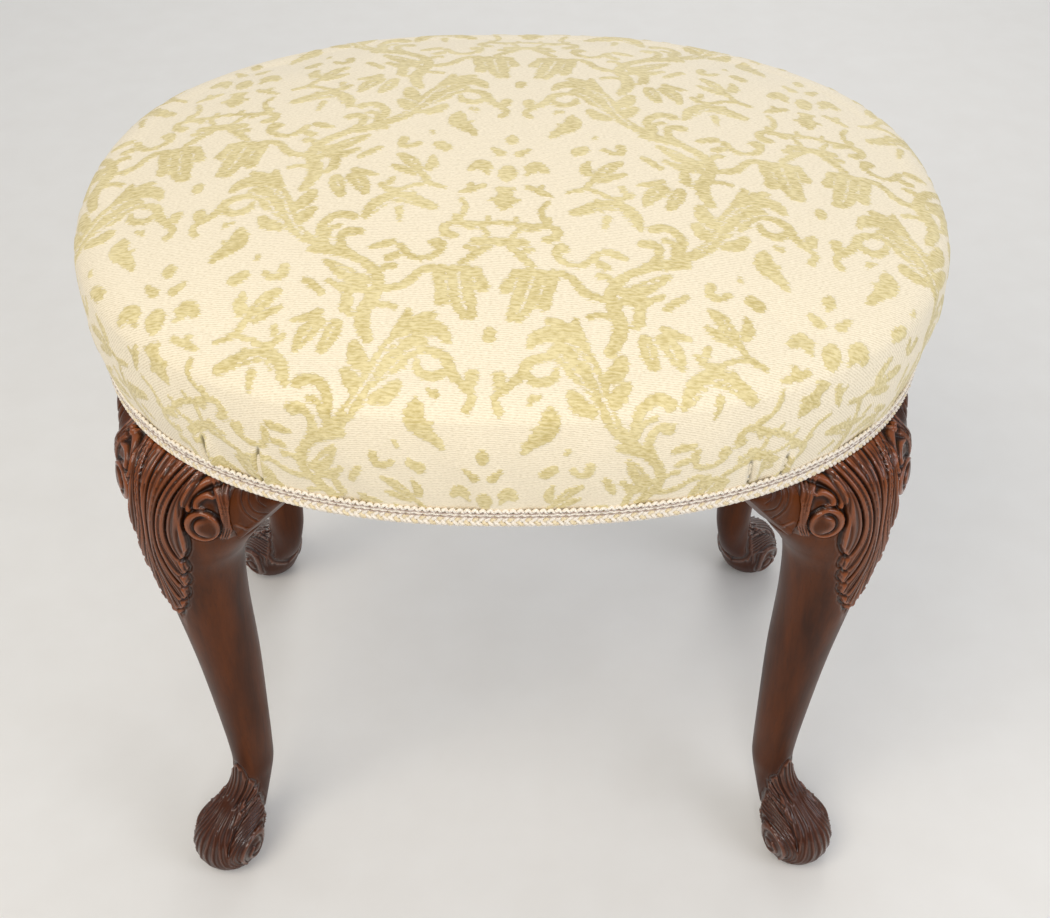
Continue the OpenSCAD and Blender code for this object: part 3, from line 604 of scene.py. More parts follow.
ear_meshes = {}
for side in (1, -1):
    work, x, y = grid(bracket_across, bracket_along)
    t, share = y, np.clip(x / face_share, 0, 1)
    points = bracket_skin(t, share, side)
    e = 0.01
    normal = np.cross(bracket_skin(t + e, share, side) - bracket_skin(t - e, share, side),
                      bracket_skin(t, share + e, side) - bracket_skin(t, share - e, side))
    normal *= -side / np.maximum(np.linalg.norm(normal, axis=-1, keepdims=True), 1e-9)
    height = ear_relief(t * bracket_l * 1.05, points[:, 2]) * soft_step(1.0, 0.9, share)
    height = height * soft_step(1, 0.9, t) * soft_step(0, 0.1, t)
    points += normal * height[:, None]

    # The skin turns under the face, up the back and over the top
    turns_at = [0, 0.4, 0.8, 1.0]
    turn = np.clip((x - face_share) / (1 - face_share), 0, 1)
    back, over_top = x > face_share, turn >= turns_at[2]
    rear = np.interp(side * (knee_half + t * bracket_l), seat_along, seat_out) - rail_in - bracket_t
    drop = stock * drop_share * (1 - (1 - tip_share) * t)
    foot_x, top_x = (bracket_skin(t, np.full_like(t, s), side)[:, 0] for s in (1, 0))
    points[back, 0] = (np.interp(turn, turns_at, [0, 1, 1, 0]) * (rear - foot_x) + foot_x)[back]
    points[back, 2] = (leg_h - drop * np.interp(turn, turns_at, [1, 1, 0, 0]))[back]
    points[over_top, 0] = (rear + (top_x - rear) * (turn - turns_at[2]) / (1 - turns_at[2]))[over_top]
    move(work, to_seat(points))
    layer = work.verts.layers.float.new("hollow")
    for v, h in zip(work.verts, hollow(height, x, y, bracket_across, bracket_along, 2)):
        v[layer] = h
    bmesh.ops.remove_doubles(work, verts=work.verts, dist=1e-6)
    bmesh.ops.holes_fill(work, edges=[e for e in work.edges if e.is_boundary], sides=0)
    bmesh.ops.recalc_face_normals(work, faces=work.faces)
    ear_meshes[side] = mesh_of(work, "ear", 4)
for name, sx, sy in corners:
    for side, end in ((1, name.split("_")[0]), (-1, "side")):
        node = f"knee_bracket_{name}_{end}"
        at_corner(ear_meshes[side], f"ear_{name}_{end}", sx, sy, mahogany, node)

# Rails, dowels and glue blocks
# Beech, bandsawn to the seat's curve and planed: pale, with short dark flecks. The screws are
# plain steel. All of it is hidden under the upholstery.

# Beech: a pale, level figure with dark flecks, which are half a millimetre high and 4 mm long
beech, tree = new_material("planed_beech")
place = add(tree, "TexCoord").outputs["Object"]
stretch = add(tree, "Mapping", {"Vector": place, "Scale": (0.25, 0.25, 2.0)})
figure = add(tree, "TexNoise", {"Vector": stretch, "Scale": 120.0, "Detail": 4.0})
fleck = add(tree, "TexNoise", {"Vector": stretch, "Scale": 900.0, "Detail": 1.0})
tone = add(tree, "Mix", {0: figure.outputs["Fac"], 6: colour("#B98E63"), 7: colour("#D9B58A")},
           data_type="RGBA")
marks = add(tree, "MapRange", {0: fleck.outputs["Fac"], 1: 0.62, 2: 0.7, 3: 0.0, 4: 0.5})
mixed = add(tree, "Mix", {0: marks, 6: tone, 7: colour("#8A6040")}, data_type="RGBA")
bump = add(tree, "Bump", {"Height": fleck.outputs["Fac"], "Strength": 0.2, "Distance": 0.0002})
body = add(tree, "BsdfPrincipled", {"Base Color": mixed, "Roughness": 0.6, "Normal": bump})
add(tree, "OutputMaterial", {"Surface": body})

# Turned steel, slightly dulled in patches of a millimetre or two
steel, tree = new_material("bright_steel_screws")
place = add(tree, "TexCoord").outputs["Object"]
wear = add(tree, "TexNoise", {"Vector": place, "Scale": 700.0, "Detail": 3.0})
rough = add(tree, "MapRange", {0: wear.outputs["Fac"], 3: 0.3, 4: 0.5})
tone = add(tree, "Mix", {0: wear.outputs["Fac"], 6: colour("#8F8F8C"), 7: colour("#B9B8B4")},
           data_type="RGBA")
body = add(tree, "BsdfPrincipled", {"Base Color": tone, "Roughness": rough, "Metallic": 1.0})
add(tree, "OutputMaterial", {"Surface": body})


def finish_node(node, material):
    """Gives a CAD node its finish"""
    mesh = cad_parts[node].data
    mesh.materials.clear()
    mesh.materials.append(material)


for node in ("rail_front", "rail_back", "rail_left", "rail_right", "frame_dowels",
             *("corner_blocks_" + name for name, _, _ in corners)):
    finish_node(node, beech)
finish_node("corner_block_screws", steel)

# Webbing
# Four strips of brown jute webbing along the seat and five across it, woven through each
# other and tacked on top of the rails. The weave is coarse, and dark between its threads.

# Millimetres: a strip's width, thickness, pitch and the length over which it rises, the gap
# where two strips cross, the rails' rasped edge, and the height of their upper face
web_w, web_t, web_pitch, web_ramp, web_gap, rasp_w = 50, 1.5, 72, 5.5, 0.1, 6
web_z = leg_h + rail_h

# Jute: matt brown, a little hairy, with its threads 2 mm apart. The bands of a wave texture
# lie 314 mm apart, divided by its scale.
jute, tree = new_material("woven_jute")
place = add(tree, "TexCoord").outputs["Object"]
wave = {"Vector": place, "Scale": 160.0, "Distortion": 0.6}
warp = add(tree, "TexWave", wave, bands_direction="X")
weft = add(tree, "TexWave", wave, bands_direction="Y")
weave = add(tree, "Math", {0: warp.outputs["Fac"], 1: weft.outputs["Fac"]}, operation="MULTIPLY")
fuzz = add(tree, "TexNoise", {"Vector": place, "Scale": 500.0, "Detail": 3.0})
tone = add(tree, "Mix", {0: fuzz.outputs["Fac"], 6: colour("#7C6141"), 7: colour("#B4966A")},
           data_type="RGBA")
dark = add(tree, "Mix", {0: weave, 6: colour("#5E482E"), 7: tone}, data_type="RGBA")
bump = add(tree, "Bump", {"Height": weave, "Strength": 0.6, "Distance": 0.0006})
body = add(tree, "BsdfPrincipled",
           {"Base Color": dark, "Roughness": 0.9, "Sheen Weight": 0.2, "Normal": bump})
add(tree, "OutputMaterial", {"Surface": body})


def add_part(work, part):
    """Moves a finished bmesh into another one"""
    held = mesh_of(part, "part")
    work.from_mesh(held)
    bpy.data.meshes.remove(held)


def piece_of(work, name, finish, node):
    """A smooth piece that is made from a bmesh"""
    return show(mesh_of(work, name, math.inf), name, finish, node)


def strip_half(place, across, along):
    """Half-length of a strip that ends on the rails' upper face"""
    edge = (abs(place) + web_w / 2) / (across - rail_in - rasp_w)
    return (along - rail_in - rasp_w) * (1 - edge ** oval_power) ** (1 / oval_power)


def webbing(name, node, count, crossing_count, across, along, first_over, turned):
    """Strips of webbing that go over and under the strips that cross them"""
    work = bmesh.new()
    for i in range(count):
        middle = (i - (count - 1) / 2) * web_pitch
        half = strip_half(middle, across, along)
        part, x, y = grid(8, 72)
        run = (2 * y - 1) * half
        rise = np.zeros(run.shape)
        for k in range(crossing_count):
            at = (k - (crossing_count - 1) / 2) * web_pitch
            over = (k + i + first_over) % 2 == 0
            rise += (web_t + web_gap) * over * soft_step(web_w / 2 + web_ramp, web_w / 2, np.abs(run - at))
        side = middle + (x - 0.5) * web_w
        flat = np.column_stack([side, run] if turned else [run, side])
        move(part, np.column_stack([flat, web_z + rise + web_t / 2]))
        bmesh.ops.recalc_face_normals(part, faces=part.faces)
        bmesh.ops.solidify(part, geom=part.faces[:], thickness=web_t * mm)
        add_part(work, part)
    low = min(v.co.z for v in work.verts)
    bmesh.ops.translate(work, verts=work.verts, vec=(0, 0, web_z * mm - low))
    bmesh.ops.recalc_face_normals(work, faces=work.faces)
    piece_of(work, name, jute, node)


webbing("webbing_along_seat", "webbing_lengthwise", 4, 5, seat_d / 2, seat_w / 2, 0, False)
webbing("webbing_across_seat", "webbing_crosswise", 5, 4, seat_w / 2, seat_d / 2, 1, True)

# Hessian, stuffing, calico and wadding
# Hessian lies over the webbing. The hair stuffing on it overhangs the rails and is pulled to
# its rounded shape by calico, and a layer of cotton wadding covers that.

# Millimetres, as in the solids: the seat's wall with its swell, its rounded top edge and its
# crown, then the layers' thickness and how far in from the cover's face each of them lies.
# The wall swells like the first part of half a wave.
wall_h, wall_swell, edge_w, edge_h, crown_h = 75, 11, 22, 12, 20
cover_t, layer_gap, wadding_t, calico_t, hessian_t = 1.6, 0.3, 4, 0.8, 0.8
wadding_in = cover_t + layer_gap
calico_in = wadding_in + wadding_t + layer_gap
pad_in = calico_in + calico_t + layer_gap
hessian_z = web_z + 2 * web_t + 2 * web_gap
swell_turn = math.radians(180 * 0.62)

# The cells of a layer's grid are shared out as if its top ran this far to the edge
top_run = 200


def seat_profile(depth, low_share):
    """Growth and height from the top's edge down to a layer's lower end, and the top's growth"""
    edge = wall_swell * math.sin(swell_turn) - edge_w
    turn = np.linspace(math.pi / 2, 0, 13)
    over = np.column_stack([edge + (edge_w - depth) * np.cos(turn),
                            leg_h + wall_h + (edge_h - depth) * np.sin(turn)])
    share = np.linspace(1, low_share, 25)[1:]
    wall = np.column_stack([np.maximum(wall_swell * np.sin(swell_turn * share) - depth, layer_gap - rail_in),
                            leg_h + share * wall_h])
    return np.vstack([over, wall]), edge


def around(x, y):
    """Angle and share of the way out for points of a square that is wrapped onto the oval"""
    p, q = 2 * x - 1, 2 * y - 1
    share = np.maximum(np.abs(p), np.abs(q))
    at_side = np.where(p > 0, 0, np.pi) + np.pi / 4 * q / np.where(p == 0, 1, p)
    at_front = np.where(q > 0, np.pi / 2, 1.5 * np.pi) - np.pi / 4 * p / np.where(q == 0, 1, q)
    return np.where(np.abs(p) >= np.abs(q), at_side, at_front), np.where(share < 1e-6, 0, share)


def seat_skin(x, y, depth, low_share):
    """Points of a soft layer's outer face, and their distance down it past the top's edge"""
    line, edge = seat_profile(depth, low_share)
    gone = np.concatenate([[0], np.cumsum(np.hypot(*np.diff(line, axis=0).T))])
    turn, share = around(x, y)
    flat_share = top_run / (top_run + gone[-1])
    on_top = np.clip(share / flat_share, 0, 1)
    down = np.clip((share - flat_share) / (1 - flat_share), 0, 1) * gone[-1]
    ring = oval(turn, np.interp(down, gone, line[:, 0]))
    flat = np.where((share <= flat_share)[:, None], oval(turn, edge) * on_top[:, None], ring)
    z = np.where(share <= flat_share, leg_h + wall_h + edge_h + crown_h * (1 - on_top ** 2) - depth,
                 np.interp(down, gone, line[:, 1]))
    return np.column_stack([flat, z]), down


def cloth_finish(name, dark, light, threads, rough, sheen):
    """Plain cloth of uneven threads that cross, 314 mm apart divided by the number threads"""
    material, tree = new_material(name)
    place = add(tree, "TexCoord").outputs["Object"]
    wave = {"Vector": place, "Scale": threads, "Distortion": 0.8}
    one = add(tree, "TexWave", wave, bands_direction="X")
    two = add(tree, "TexWave", wave, bands_direction="Y")
    weave = add(tree, "Math", {0: one.outputs["Fac"], 1: two.outputs["Fac"]}, operation="MULTIPLY")
    fuzz = add(tree, "TexNoise", {"Vector": place, "Scale": 40.0, "Detail": 6.0})
    mixed = add(tree, "Math", {0: weave, 1: fuzz.outputs["Fac"]}, operation="MULTIPLY")
    tone = add(tree, "Mix", {0: mixed, 6: colour(dark), 7: colour(light)}, data_type="RGBA")
    bump = add(tree, "Bump", {"Height": weave, "Strength": 0.5, "Distance": 0.0004})
    body = add(tree, "BsdfPrincipled", {
        "Base Color": tone, "Roughness": rough, "Sheen Weight": sheen, "Normal": bump})
    add(tree, "OutputMaterial", {"Surface": body})
    return material


# Hessian: coarse and brown, with threads 1.2 mm apart. It waves a little over the strips.
hessian_cloth = cloth_finish("brown_hessian", "#6E5434", "#C2A271", 260.0, 0.95, 0.1)
work, x, y = grid(40, 40)
turn, share = around(x, y)
flat = oval(turn, -rail_in - rasp_w) * share[:, None]
dip = 0.25 * np.cos(flat[:, 0] / web_pitch * 2 * np.pi) * np.cos(flat[:, 1] / web_pitch * 2 * np.pi)
move(work, np.column_stack([flat, hessian_z + hessian_t + dip * (share < 0.99)]))
bmesh.ops.solidify(work, geom=work.faces[:], thickness=hessian_t * mm)
bmesh.ops.recalc_face_normals(work, faces=work.faces)
hessian = piece_of(work, "hessian_over_webbing", hessian_cloth, "hessian")

# Stuffing: dark hair in lumps. Its wall ends at one share of the seat's height, and its base,
# which lies on the hessian, is flat over another of its width. The curls are 3.5 mm apart.
pad_low, flat_base = 0.33, 0.94
hair = cloth_finish("curled_hair_stuffing", "#3E3226", "#8A745C", 90.0, 0.95, 0.3)
work, x, y = grid(48, 48)
points, down = seat_skin(x, y, pad_in, pad_low)
lump = 0.35 * np.sin(points[:, 0] / 9) * np.sin(points[:, 1] / 11 + points[:, 0] / 31)
points[:, 2] -= 0.4 + lump * (down < 20)
move(work, points)
base, x, y = grid(48, 48)
turn, share = around(x, y)
hem = oval(turn, layer_gap - rail_in)
low = leg_h + pad_low * wall_h
rise = soft_step(1.0, flat_base, share)
flat = np.where((share > flat_base)[:, None], hem, hem * (share / flat_base)[:, None])
move(base, np.column_stack([flat, low + (hessian_z + hessian_t + 0.6 - low) * rise]))
add_part(work, base)
bmesh.ops.remove_doubles(work, verts=work.verts, dist=2e-4)
bmesh.ops.recalc_face_normals(work, faces=work.faces)
stuffing = piece_of(work, "hair_stuffing_pad", hair, "stuffing_pad")

# Calico is off-white and close, with threads 0.75 mm apart. Wadding is white and fluffy, with
# soft waves 5 mm apart. Each has its depth in the seat, its lower end's share and its thickness.
calico_cloth = cloth_finish("unbleached_calico", "#B8AC90", "#E2DAC4", 420.0, 0.9, 0.1)
wadding_stuff = cloth_finish("cotton_wadding", "#D8D6CE", "#F0EFEA", 60.0, 1.0, 0.4)
for name, finish, node, slot, depth, low_share, thick, fill in (
    ("calico_over_stuffing", calico_cloth, "calico_cover", "calico", calico_in, 0.27, calico_t, 0.9),
    ("cotton_wadding_layer", wadding_stuff, "wadding", "cotton_wadding",
     wadding_in + 0.2, 0.1, wadding_t - 0.5, 0.8),
):
    work, x, y = grid(48, 48)
    move(work, seat_skin(x, y, depth, low_share)[0])
    bmesh.ops.solidify(work, geom=work.faces[:], thickness=thick * mm)
    bmesh.ops.recalc_face_normals(work, faces=work.faces)
    piece_of(work, name, finish, node)

# Damask cover
# A heavy woven damask, drawn over the pad and tacked along the rails' lower edge: a cream
# ribbed ground with a raised sage-gold pattern. Two small tucks take up the fullness over
# each leg.

# Cells of the cloth that is simulated, each of which is cut finer for the cover, and the
# height of the tacked hem in millimetres. The pattern's half width and whole height, how far
# the cloth is turned on the seat, and how far its axis lies left of the seat's middle.
cover_cells, cover_finer, hem_under = 88, 5, 16
half_repeat, rise_repeat, cloth_turn, axis_left = 86.0, 232.0, math.radians(4.6), 1.3

# The pattern right of its axis, in millimetres: each stroke's points across and up, with its
# width there. It is mirrored at the axis and dropped by half a repeat at the next one.
strokes = (
    ((32.5, -190.5, 2.5), (35, -197.5, 7), (33, -204.5, 9), (27, -210, 7), (22, -212.5, 3)),
    ((24.5, -201.5, 2), (28.5, -203.5, 3), (31.5, -204.5, 4)), ((6.5, -175, 7), (7, -180, 6)),
    ((8, -194.5, 5), (5.5, -188, 4), (11, -181.5, 5), (17, -174, 6), (19.5, -167, 6), (24.5, -163, 5.5),
    (32, -161.5, 4.5), (38.5, -164.5, 5.5), (44, -170, 8)), ((34.5, -168.5, 3), (33.5, -173.5, 5),
    (28.5, -177, 6), (23.5, -176.5, 6), (20, -172.5, 4)), ((61.5, -191.5, 6), (56.5, -180, 9),
    (52.5, -169, 9), (47, -158.5, 9), (40.5, -151.5, 9), (33, -147.5, 10), (25, -149.5, 9),
    (20.5, -156, 4)), ((46.5, -153.5, 7), (43, -145, 7), (42, -138, 4)), ((42, -150, 6),
    (35.5, -142.5, 7), (29.5, -139.5, 5)), ((47.5, -164.5, 7), (42, -159, 8), (35.5, -156, 7),
    (31, -158, 3)), ((55.5, -181, 8), (49, -174.5, 9), (43, -170, 8)), ((66.5, -160, 6), (64, -168, 10),
    (59, -174.5, 6)), ((69, -176, 6), (64.5, -183, 9), (60, -188.5, 6)), ((43, -183, 6), (47, -188.5, 9),
    (53.5, -191, 6)), ((60.5, -156.5, 6), (64.5, -145.5, 8), (64, -135.5, 8), (60.5, -126.5, 7.5),
    (59.5, -119, 7), (62.5, -110.5, 6.5), (69.5, -103, 6), (79, -97.5, 5.5), (88.5, -95.5, 5),
    (97.5, -93, 6)), ((59, -123, 5), (51, -121.5, 5.5), (44.5, -117.5, 5.5), (40, -110.5, 5),
    (34.5, -106.5, 5), (27, -107, 4)), ((61, -134.5, 4), (54, -133.5, 4), (49, -135, 4)),
    ((61, -112.5, 4), (57.5, -107, 4), (53.5, -106, 5)), ((89, -102.5, 3.5), (81, -109, 8),
    (74, -114.5, 9), (66.5, -117, 7)), ((81.5, -120, 4), (74, -123.5, 8), (68, -122, 6),
    (61.5, -128.5, 3.5)), ((97.5, -116.5, 4.5), (93.5, -120, 5), (88, -125.5, 4.5)), ((85.5, -117.5, 4),
    (81.5, -120, 4)), ((74.5, -128.5, 6), (74, -136.5, 7)), ((32.5, -87.5, 8), (30, -92, 5),
    (34, -97.5, 4.5), (41, -100, 4), (47, -97, 4.5), (51.5, -90.5, 5)), ((35, -87, 5), (30.5, -87.5, 6)),
    ((57, -100, 5), (53, -97.5, 5.5)), ((66.5, -92, 3.5), (60.5, -89.5, 6), (56, -87.5, 5)),
    ((25.5, -81, 6), (29.5, -78.5, 6), (30, -73.5, 5), (25, -71, 4.5), (15, -71, 4.5), (7, -70, 3.5),
    (0, -69, 4)), ((28.5, -80.5, 5), (23.5, -81, 4)), ((24.5, -65.5, 5), (23.5, -69, 5)), ((7.5, -65, 3),
    (7, -69, 3)), ((10.5, -73, 3), (6.5, -80, 3.5)), ((19, -73, 3), (15, -74.5, 3.5)), ((12.5, -85, 6.5),
    (0, -84.5, 6.5)), ((5.5, -89, 4), (10.5, -93, 5), (15, -98.5, 5), (18.5, -102, 4)), ((17, -90, 4),
    (13.5, -90.5, 4)), ((23.5, -50, 3), (20.5, -56, 3.5), (21, -62, 3.5), (22.5, -66, 3.5)),
    ((25, -44.5, 2.5), (19.5, -41.5, 5), (12, -37, 4)), ((19.5, -36, 3.5), (17.5, -40.5, 5)),
    ((20, -21, 6), (15.5, -16, 8), (11.5, -19, 6)), ((15.5, -17.5, 8), (10.5, -26, 2.5)), ((10, 0, 3.5),
    (5.5, -5, 6.5)), ((61.5, -8, 4.5), (56, -13.5, 8), (50, -22, 6)), ((43.5, -9.5, 3), (42.5, -16.5, 7),
    (44, -21.5, 6)), ((64, -19, 3.5), (58, -23, 6), (51.5, -27.5, 3.5)), ((50, -23, 4), (45.5, -30, 4),
    (42.5, -35.5, 4), (34, -40, 3.5)), ((43, -36, 3.5), (52, -39, 3.5), (57.5, -43, 4), (64.5, -42, 4.5),
    (68.5, -37.5, 4)), ((63, -32, 4), (64, -36.5, 4)), ((73.5, -67, 4), (70, -58, 9), (64, -50.5, 9),
    (57, -48.5, 8), (48.5, -52, 9), (38, -57.5, 6)), ((61, -46, 5), (58, -51, 7)), ((50, -46, 4),
    (52, -51.5, 8)), ((56, -60, 5), (54.5, -69.5, 2.5)), ((94.5, -31, 7), (93, -37.5, 9),
    (89.5, -46.5, 6)), ((85.5, -30, 8), (80, -36.5, 10), (76, -46.5, 4)), ((85, -23, 5), (80, -26, 6),
    (72.5, -28, 3)), ((80.5, -66.5, 7), (86, -64.5, 6), (91.5, -67, 5.5), (95.5, -74, 5.5),
    (94.5, -82, 5.5), (91, -89.5, 4)), ((86.5, -74.5, 4), (91, -77.5, 3.5), (91, -84.5, 3)),
    ((75.5, -79.5, 7), (81, -79, 6), (84, -84, 5), (81.5, -92, 5), (76, -97.5, 5)), ((32, 37.5, 6),
    (32, 30.5, 9), (27.5, 23, 8), (22, 15, 4)), ((33.5, 23.5, 3), (28, 25, 4)), ((61.5, 9, 6), (62, 3, 5),
    (57, 1.5, 4.5), (52.5, 4.5, 4.5)), ((41, 3.5, 7), (37, 0, 8)), ((46.5, 18, 3), (46, 15.5, 3)),
    ((23.5, 46, 3), (23, 43, 3)), ((72.5, -140, 3), (66.5, -141, 3), (62.5, -144.5, 4)), ((29.5, -107, 7),
    (28, -115.5, 8), (27, -122.5, 6), (26, -129.5, 8)), ((22.5, -107.5, 7), (21.5, -118, 7),
    (19, -128, 7), (15, -136, 7)), ((14.5, -139.5, 4), (10, -138.5, 6)), ((15.5, -106.5, 6),
    (14, -117.5, 8), (12, -128.5, 7), (10.5, -135.5, 5)), ((10, -109.5, 6), (6.5, -119, 8)),
    ((27, -185.5, 3), (25.5, -187, 3)), ((0, -148.8, 6.5), (0, -152.4, 6.8)), ((0, -20.5, 7.5),
    (0, -24.5, 11), (0, -29, 8)), ((0, -39.4, 4), (4, -39.6, 3.6)), ((0, -42, 8), (0, -45, 8)),
    ((0, -49.5, 12), (0, -52.5, 10), (0, -58, 2.5)), ((0, -49.5, 6), (7, -49.5, 3.5)), ((0, 14.5, 2.5),
    (0, 10.2, 7.5), (0, 6, 3)), ((61.5, -191.5, 8), (69, -199.5, 7), (78.5, -206, 6), (88, -211, 5.5)),
    ((30, -108, 4), (20, -106.5, 5), (9, -107, 4)),
)
veins = (
    ((67, -197, 1.4), (60, -186.5, 1.5), (55.5, -176, 1.5), (51.5, -165, 1.4), (46.5, -157, 1.2),
    (38.5, -152.5, 0.8)), ((50.5, -179.5, 1.2), (46, -172.5, 1.2), (41.5, -165.5, 1.2), (34, -160, 1)),
    ((54.5, -181, 1), (46.5, -177.5, 0.8)), ((51.5, -165, 1), (47, -162, 1), (42.5, -155, 0.8)),
    ((19.5, -110, 1.3), (17.5, -120, 1.3), (15.5, -130, 1.2), (13, -135.5, 0.8)), ((25, -114.5, 1),
    (23.5, -122.5, 0.8)), ((11, -112.5, 1), (9.5, -122.5, 0.8)), ((58, -50, 1), (64.5, -55.5, 1),
    (70, -63, 0.6)), ((57, -50.5, 1), (48.5, -54, 0.6)), ((83.5, -106, 1), (74, -112.5, 0.7)),
    ((82.5, -33, 1), (78.5, -41.5, 0.7)), ((93.5, -33.5, 1), (91, -42.5, 0.7)), ((55, -13.5, 0.9),
    (51.5, -19.5, 0.6)),
)


def pattern_table(step):
    """The pattern's height over its edge, more than 0 on the gold, for one mirrored repeat"""
    across, up = np.arange(0, half_repeat + step, step), np.arange(0, rise_repeat, step)
    p, q = np.meshgrid(across, up)
    far, margin = -6.0, 4
    table = np.full(p.shape, far)
    for sign, group in ((1, strokes), (-1, veins)):
        for stroke in group:
            line = smooth_line(stroke, 5)
            for flip, shift, drop in ((1, 0, 0), (-1, 0, 0), (-1, 2 * half_repeat, -rise_repeat / 2)):
                for k in (-1, 0, 1, 2):
                    path = np.column_stack([flip * line[:, 0] + shift, line[:, 1] + drop + k * rise_repeat])
                    half = line[:, 2] / 2
                    low, high = path.min(0) - half.max() - margin, path.max(0) + half.max() + margin
                    i = slice(*np.searchsorted(across, (low[0], high[0])))
                    j = slice(*np.searchsorted(up, (low[1], high[1])))
                    if i.start >= i.stop or j.start >= j.stop:
                        continue
                    here, best = table[j, i], np.full(p[j, i].shape, far)
                    for (p0, q0), (p1, q1), h0, h1 in zip(path[:-1], path[1:], half[:-1], half[1:]):
                        t = np.clip(((p[j, i] - p0) * (p1 - p0) + (q[j, i] - q0) * (q1 - q0))
                                    / ((p1 - p0) ** 2 + (q1 - q0) ** 2 + 1e-9), 0, 1)
                        away = np.hypot(p[j, i] - p0 - t * (p1 - p0), q[j, i] - q0 - t * (q1 - q0))
                        best = np.maximum(best, h0 + t * (h1 - h0) - away)
                    table[j, i] = np.maximum(here, best) if sign > 0 else np.minimum(here, -best)
    return table


def pattern_at(flat, step=0.75):
    """The pattern's height at points of the cloth"""
    table = pattern_table(step)
    p = math.cos(cloth_turn) * flat[:, 0] - math.sin(cloth_turn) * flat[:, 1] + axis_left
    q = math.sin(cloth_turn) * flat[:, 0] + math.cos(cloth_turn) * flat[:, 1]
    p = np.abs(p) % (4 * half_repeat)
    p = np.where(p > 2 * half_repeat, 4 * half_repeat - p, p)
    q = np.where(p > half_repeat, q + rise_repeat / 2, q)
    p = np.where(p > half_repeat, 2 * half_repeat - p, p) / step
    q = (q % rise_repeat) / step
    i, j = np.minimum(p.astype(int), table.shape[1] - 2), q.astype(int)
    s, t = p - i, q - j
    above, j = (j + 1) % table.shape[0], j % table.shape[0]
    return ((1 - t) * ((1 - s) * table[j, i] + s * table[j, i + 1])
            + t * ((1 - s) * table[above, i] + s * table[above, i + 1]))


def laid_flat(x, y):
    """Points of the cover laid out flat, in the plan of the seat with its walls folded out"""
    line, edge = seat_profile(0.0, 0.0)
    turn, share = around(x, y)
    ring = oval(turn, edge)
    ahead = oval(turn + 1e-3, edge) - ring
    radial = ring / np.hypot(ring[:, 0], ring[:, 1])[:, None]
    lean = (radial[:, 0] * ahead[:, 1] - radial[:, 1] * ahead[:, 0]) / np.hypot(ahead[:, 0], ahead[:, 1])
    _, down = seat_skin(x, y, 0.0, 0.0)
    whole = np.hypot(*np.diff(line, axis=0).T).sum()
    inner = np.clip(share * (top_run + whole) / top_run, 0, 1)
    return ring * inner[:, None] + radial * (down / lean)[:, None]


def facing(points, n):
    """Outward unit normals of a square grid's points, in rows"""
    rows = points.reshape(n + 1, n + 1, 3)
    normal = np.cross(np.gradient(rows, axis=1), np.gradient(rows, axis=0)).reshape(-1, 3)
    normal /= np.maximum(np.linalg.norm(normal, axis=1), 1e-9)[:, None]
    return normal * np.sign(normal[len(normal) // 2, 2])


# The simulated cloth starts this far inside the cover's face, in millimetres. It is blown out
# by a pressure for a number of frames, and its push is capped, in millimetres too.
slack_in, puff, puff_frames, push_cap = 1.0, 4.0, 20, 5


def swollen(cells):
    """How far the stuffing pushes the cover out, in rows: a cloth that is tacked along its edge"""
    work, x, y = grid(cells, cells)
    order = row_order(x, y, cells, cells)
    start, down = seat_skin(x, y, slack_in, 0.0)
    move(work, start)
    bmesh.ops.recalc_face_normals(work, faces=work.faces)
    mesh = mesh_of(work, "slack_cover")
    slack = bpy.data.objects.new("slack_cover", mesh)
    scene.collection.objects.link(slack)
    tacked = slack.vertex_groups.new(name="tacked")
    tacked.add([int(k) for k in np.flatnonzero(down > down.max() - hem_under)], 1.0, "REPLACE")
    cloth = slack.modifiers.new("cloth", "CLOTH")
    cloth.settings.vertex_group_mass = "tacked"
    cloth.settings.use_pressure = True
    cloth.settings.uniform_pressure_force = puff
    cloth.settings.effector_weights.gravity = 0.0
    cloth.point_cache.frame_end = puff_frames
    for step in range(1, puff_frames + 1):
        scene.frame_set(step)
    pushed = np.empty(len(start) * 3)
    held = slack.evaluated_get(bpy.context.evaluated_depsgraph_get())
    held.to_mesh().vertices.foreach_get("co", pushed)
    held.to_mesh_clear()
    pushed = pushed.reshape(-1, 3) / mm
    bpy.data.objects.remove(slack)
    bpy.data.meshes.remove(mesh)
    scene.frame_set(1)
    start, pushed = start[order], pushed[order]
    rows = ((pushed - start) * facing(start, cells)).sum(1)
    rows = np.clip(rows, 0, push_cap).reshape(cells + 1, cells + 1)

    # The padding under the real cover evens out the small puckers between the threads
    reach = 3
    for axis in (0, 1) * 3:
        wide = np.pad(rows, [(reach, reach) if k == axis else (0, 0) for k in (0, 1)], mode="edge")
        rows = sum(np.roll(wide, k, axis) for k in range(-reach, reach + 1)) / (2 * reach + 1)
        rows = rows[reach:-reach] if axis == 0 else rows[:, reach:-reach]
    over_hem = soft_step(down.max() - hem_under, down.max() - 2 * hem_under, down[order])
    return rows * over_hem.reshape(rows.shape)


swell = swollen(cover_cells)
fine = cover_cells * cover_finer
work, x, y = grid(fine, fine)
order = row_order(x, y, fine, fine)
points, down = seat_skin(x, y, 0.0, 0.0)
flat = laid_flat(x, y)
pile_height = pattern_at(flat)
push = np.empty(len(x))
finer = smooth_line(smooth_line(swell, cover_finer).T, cover_finer).T
push[order] = np.maximum(finer.ravel() - slack_in, 0.0)

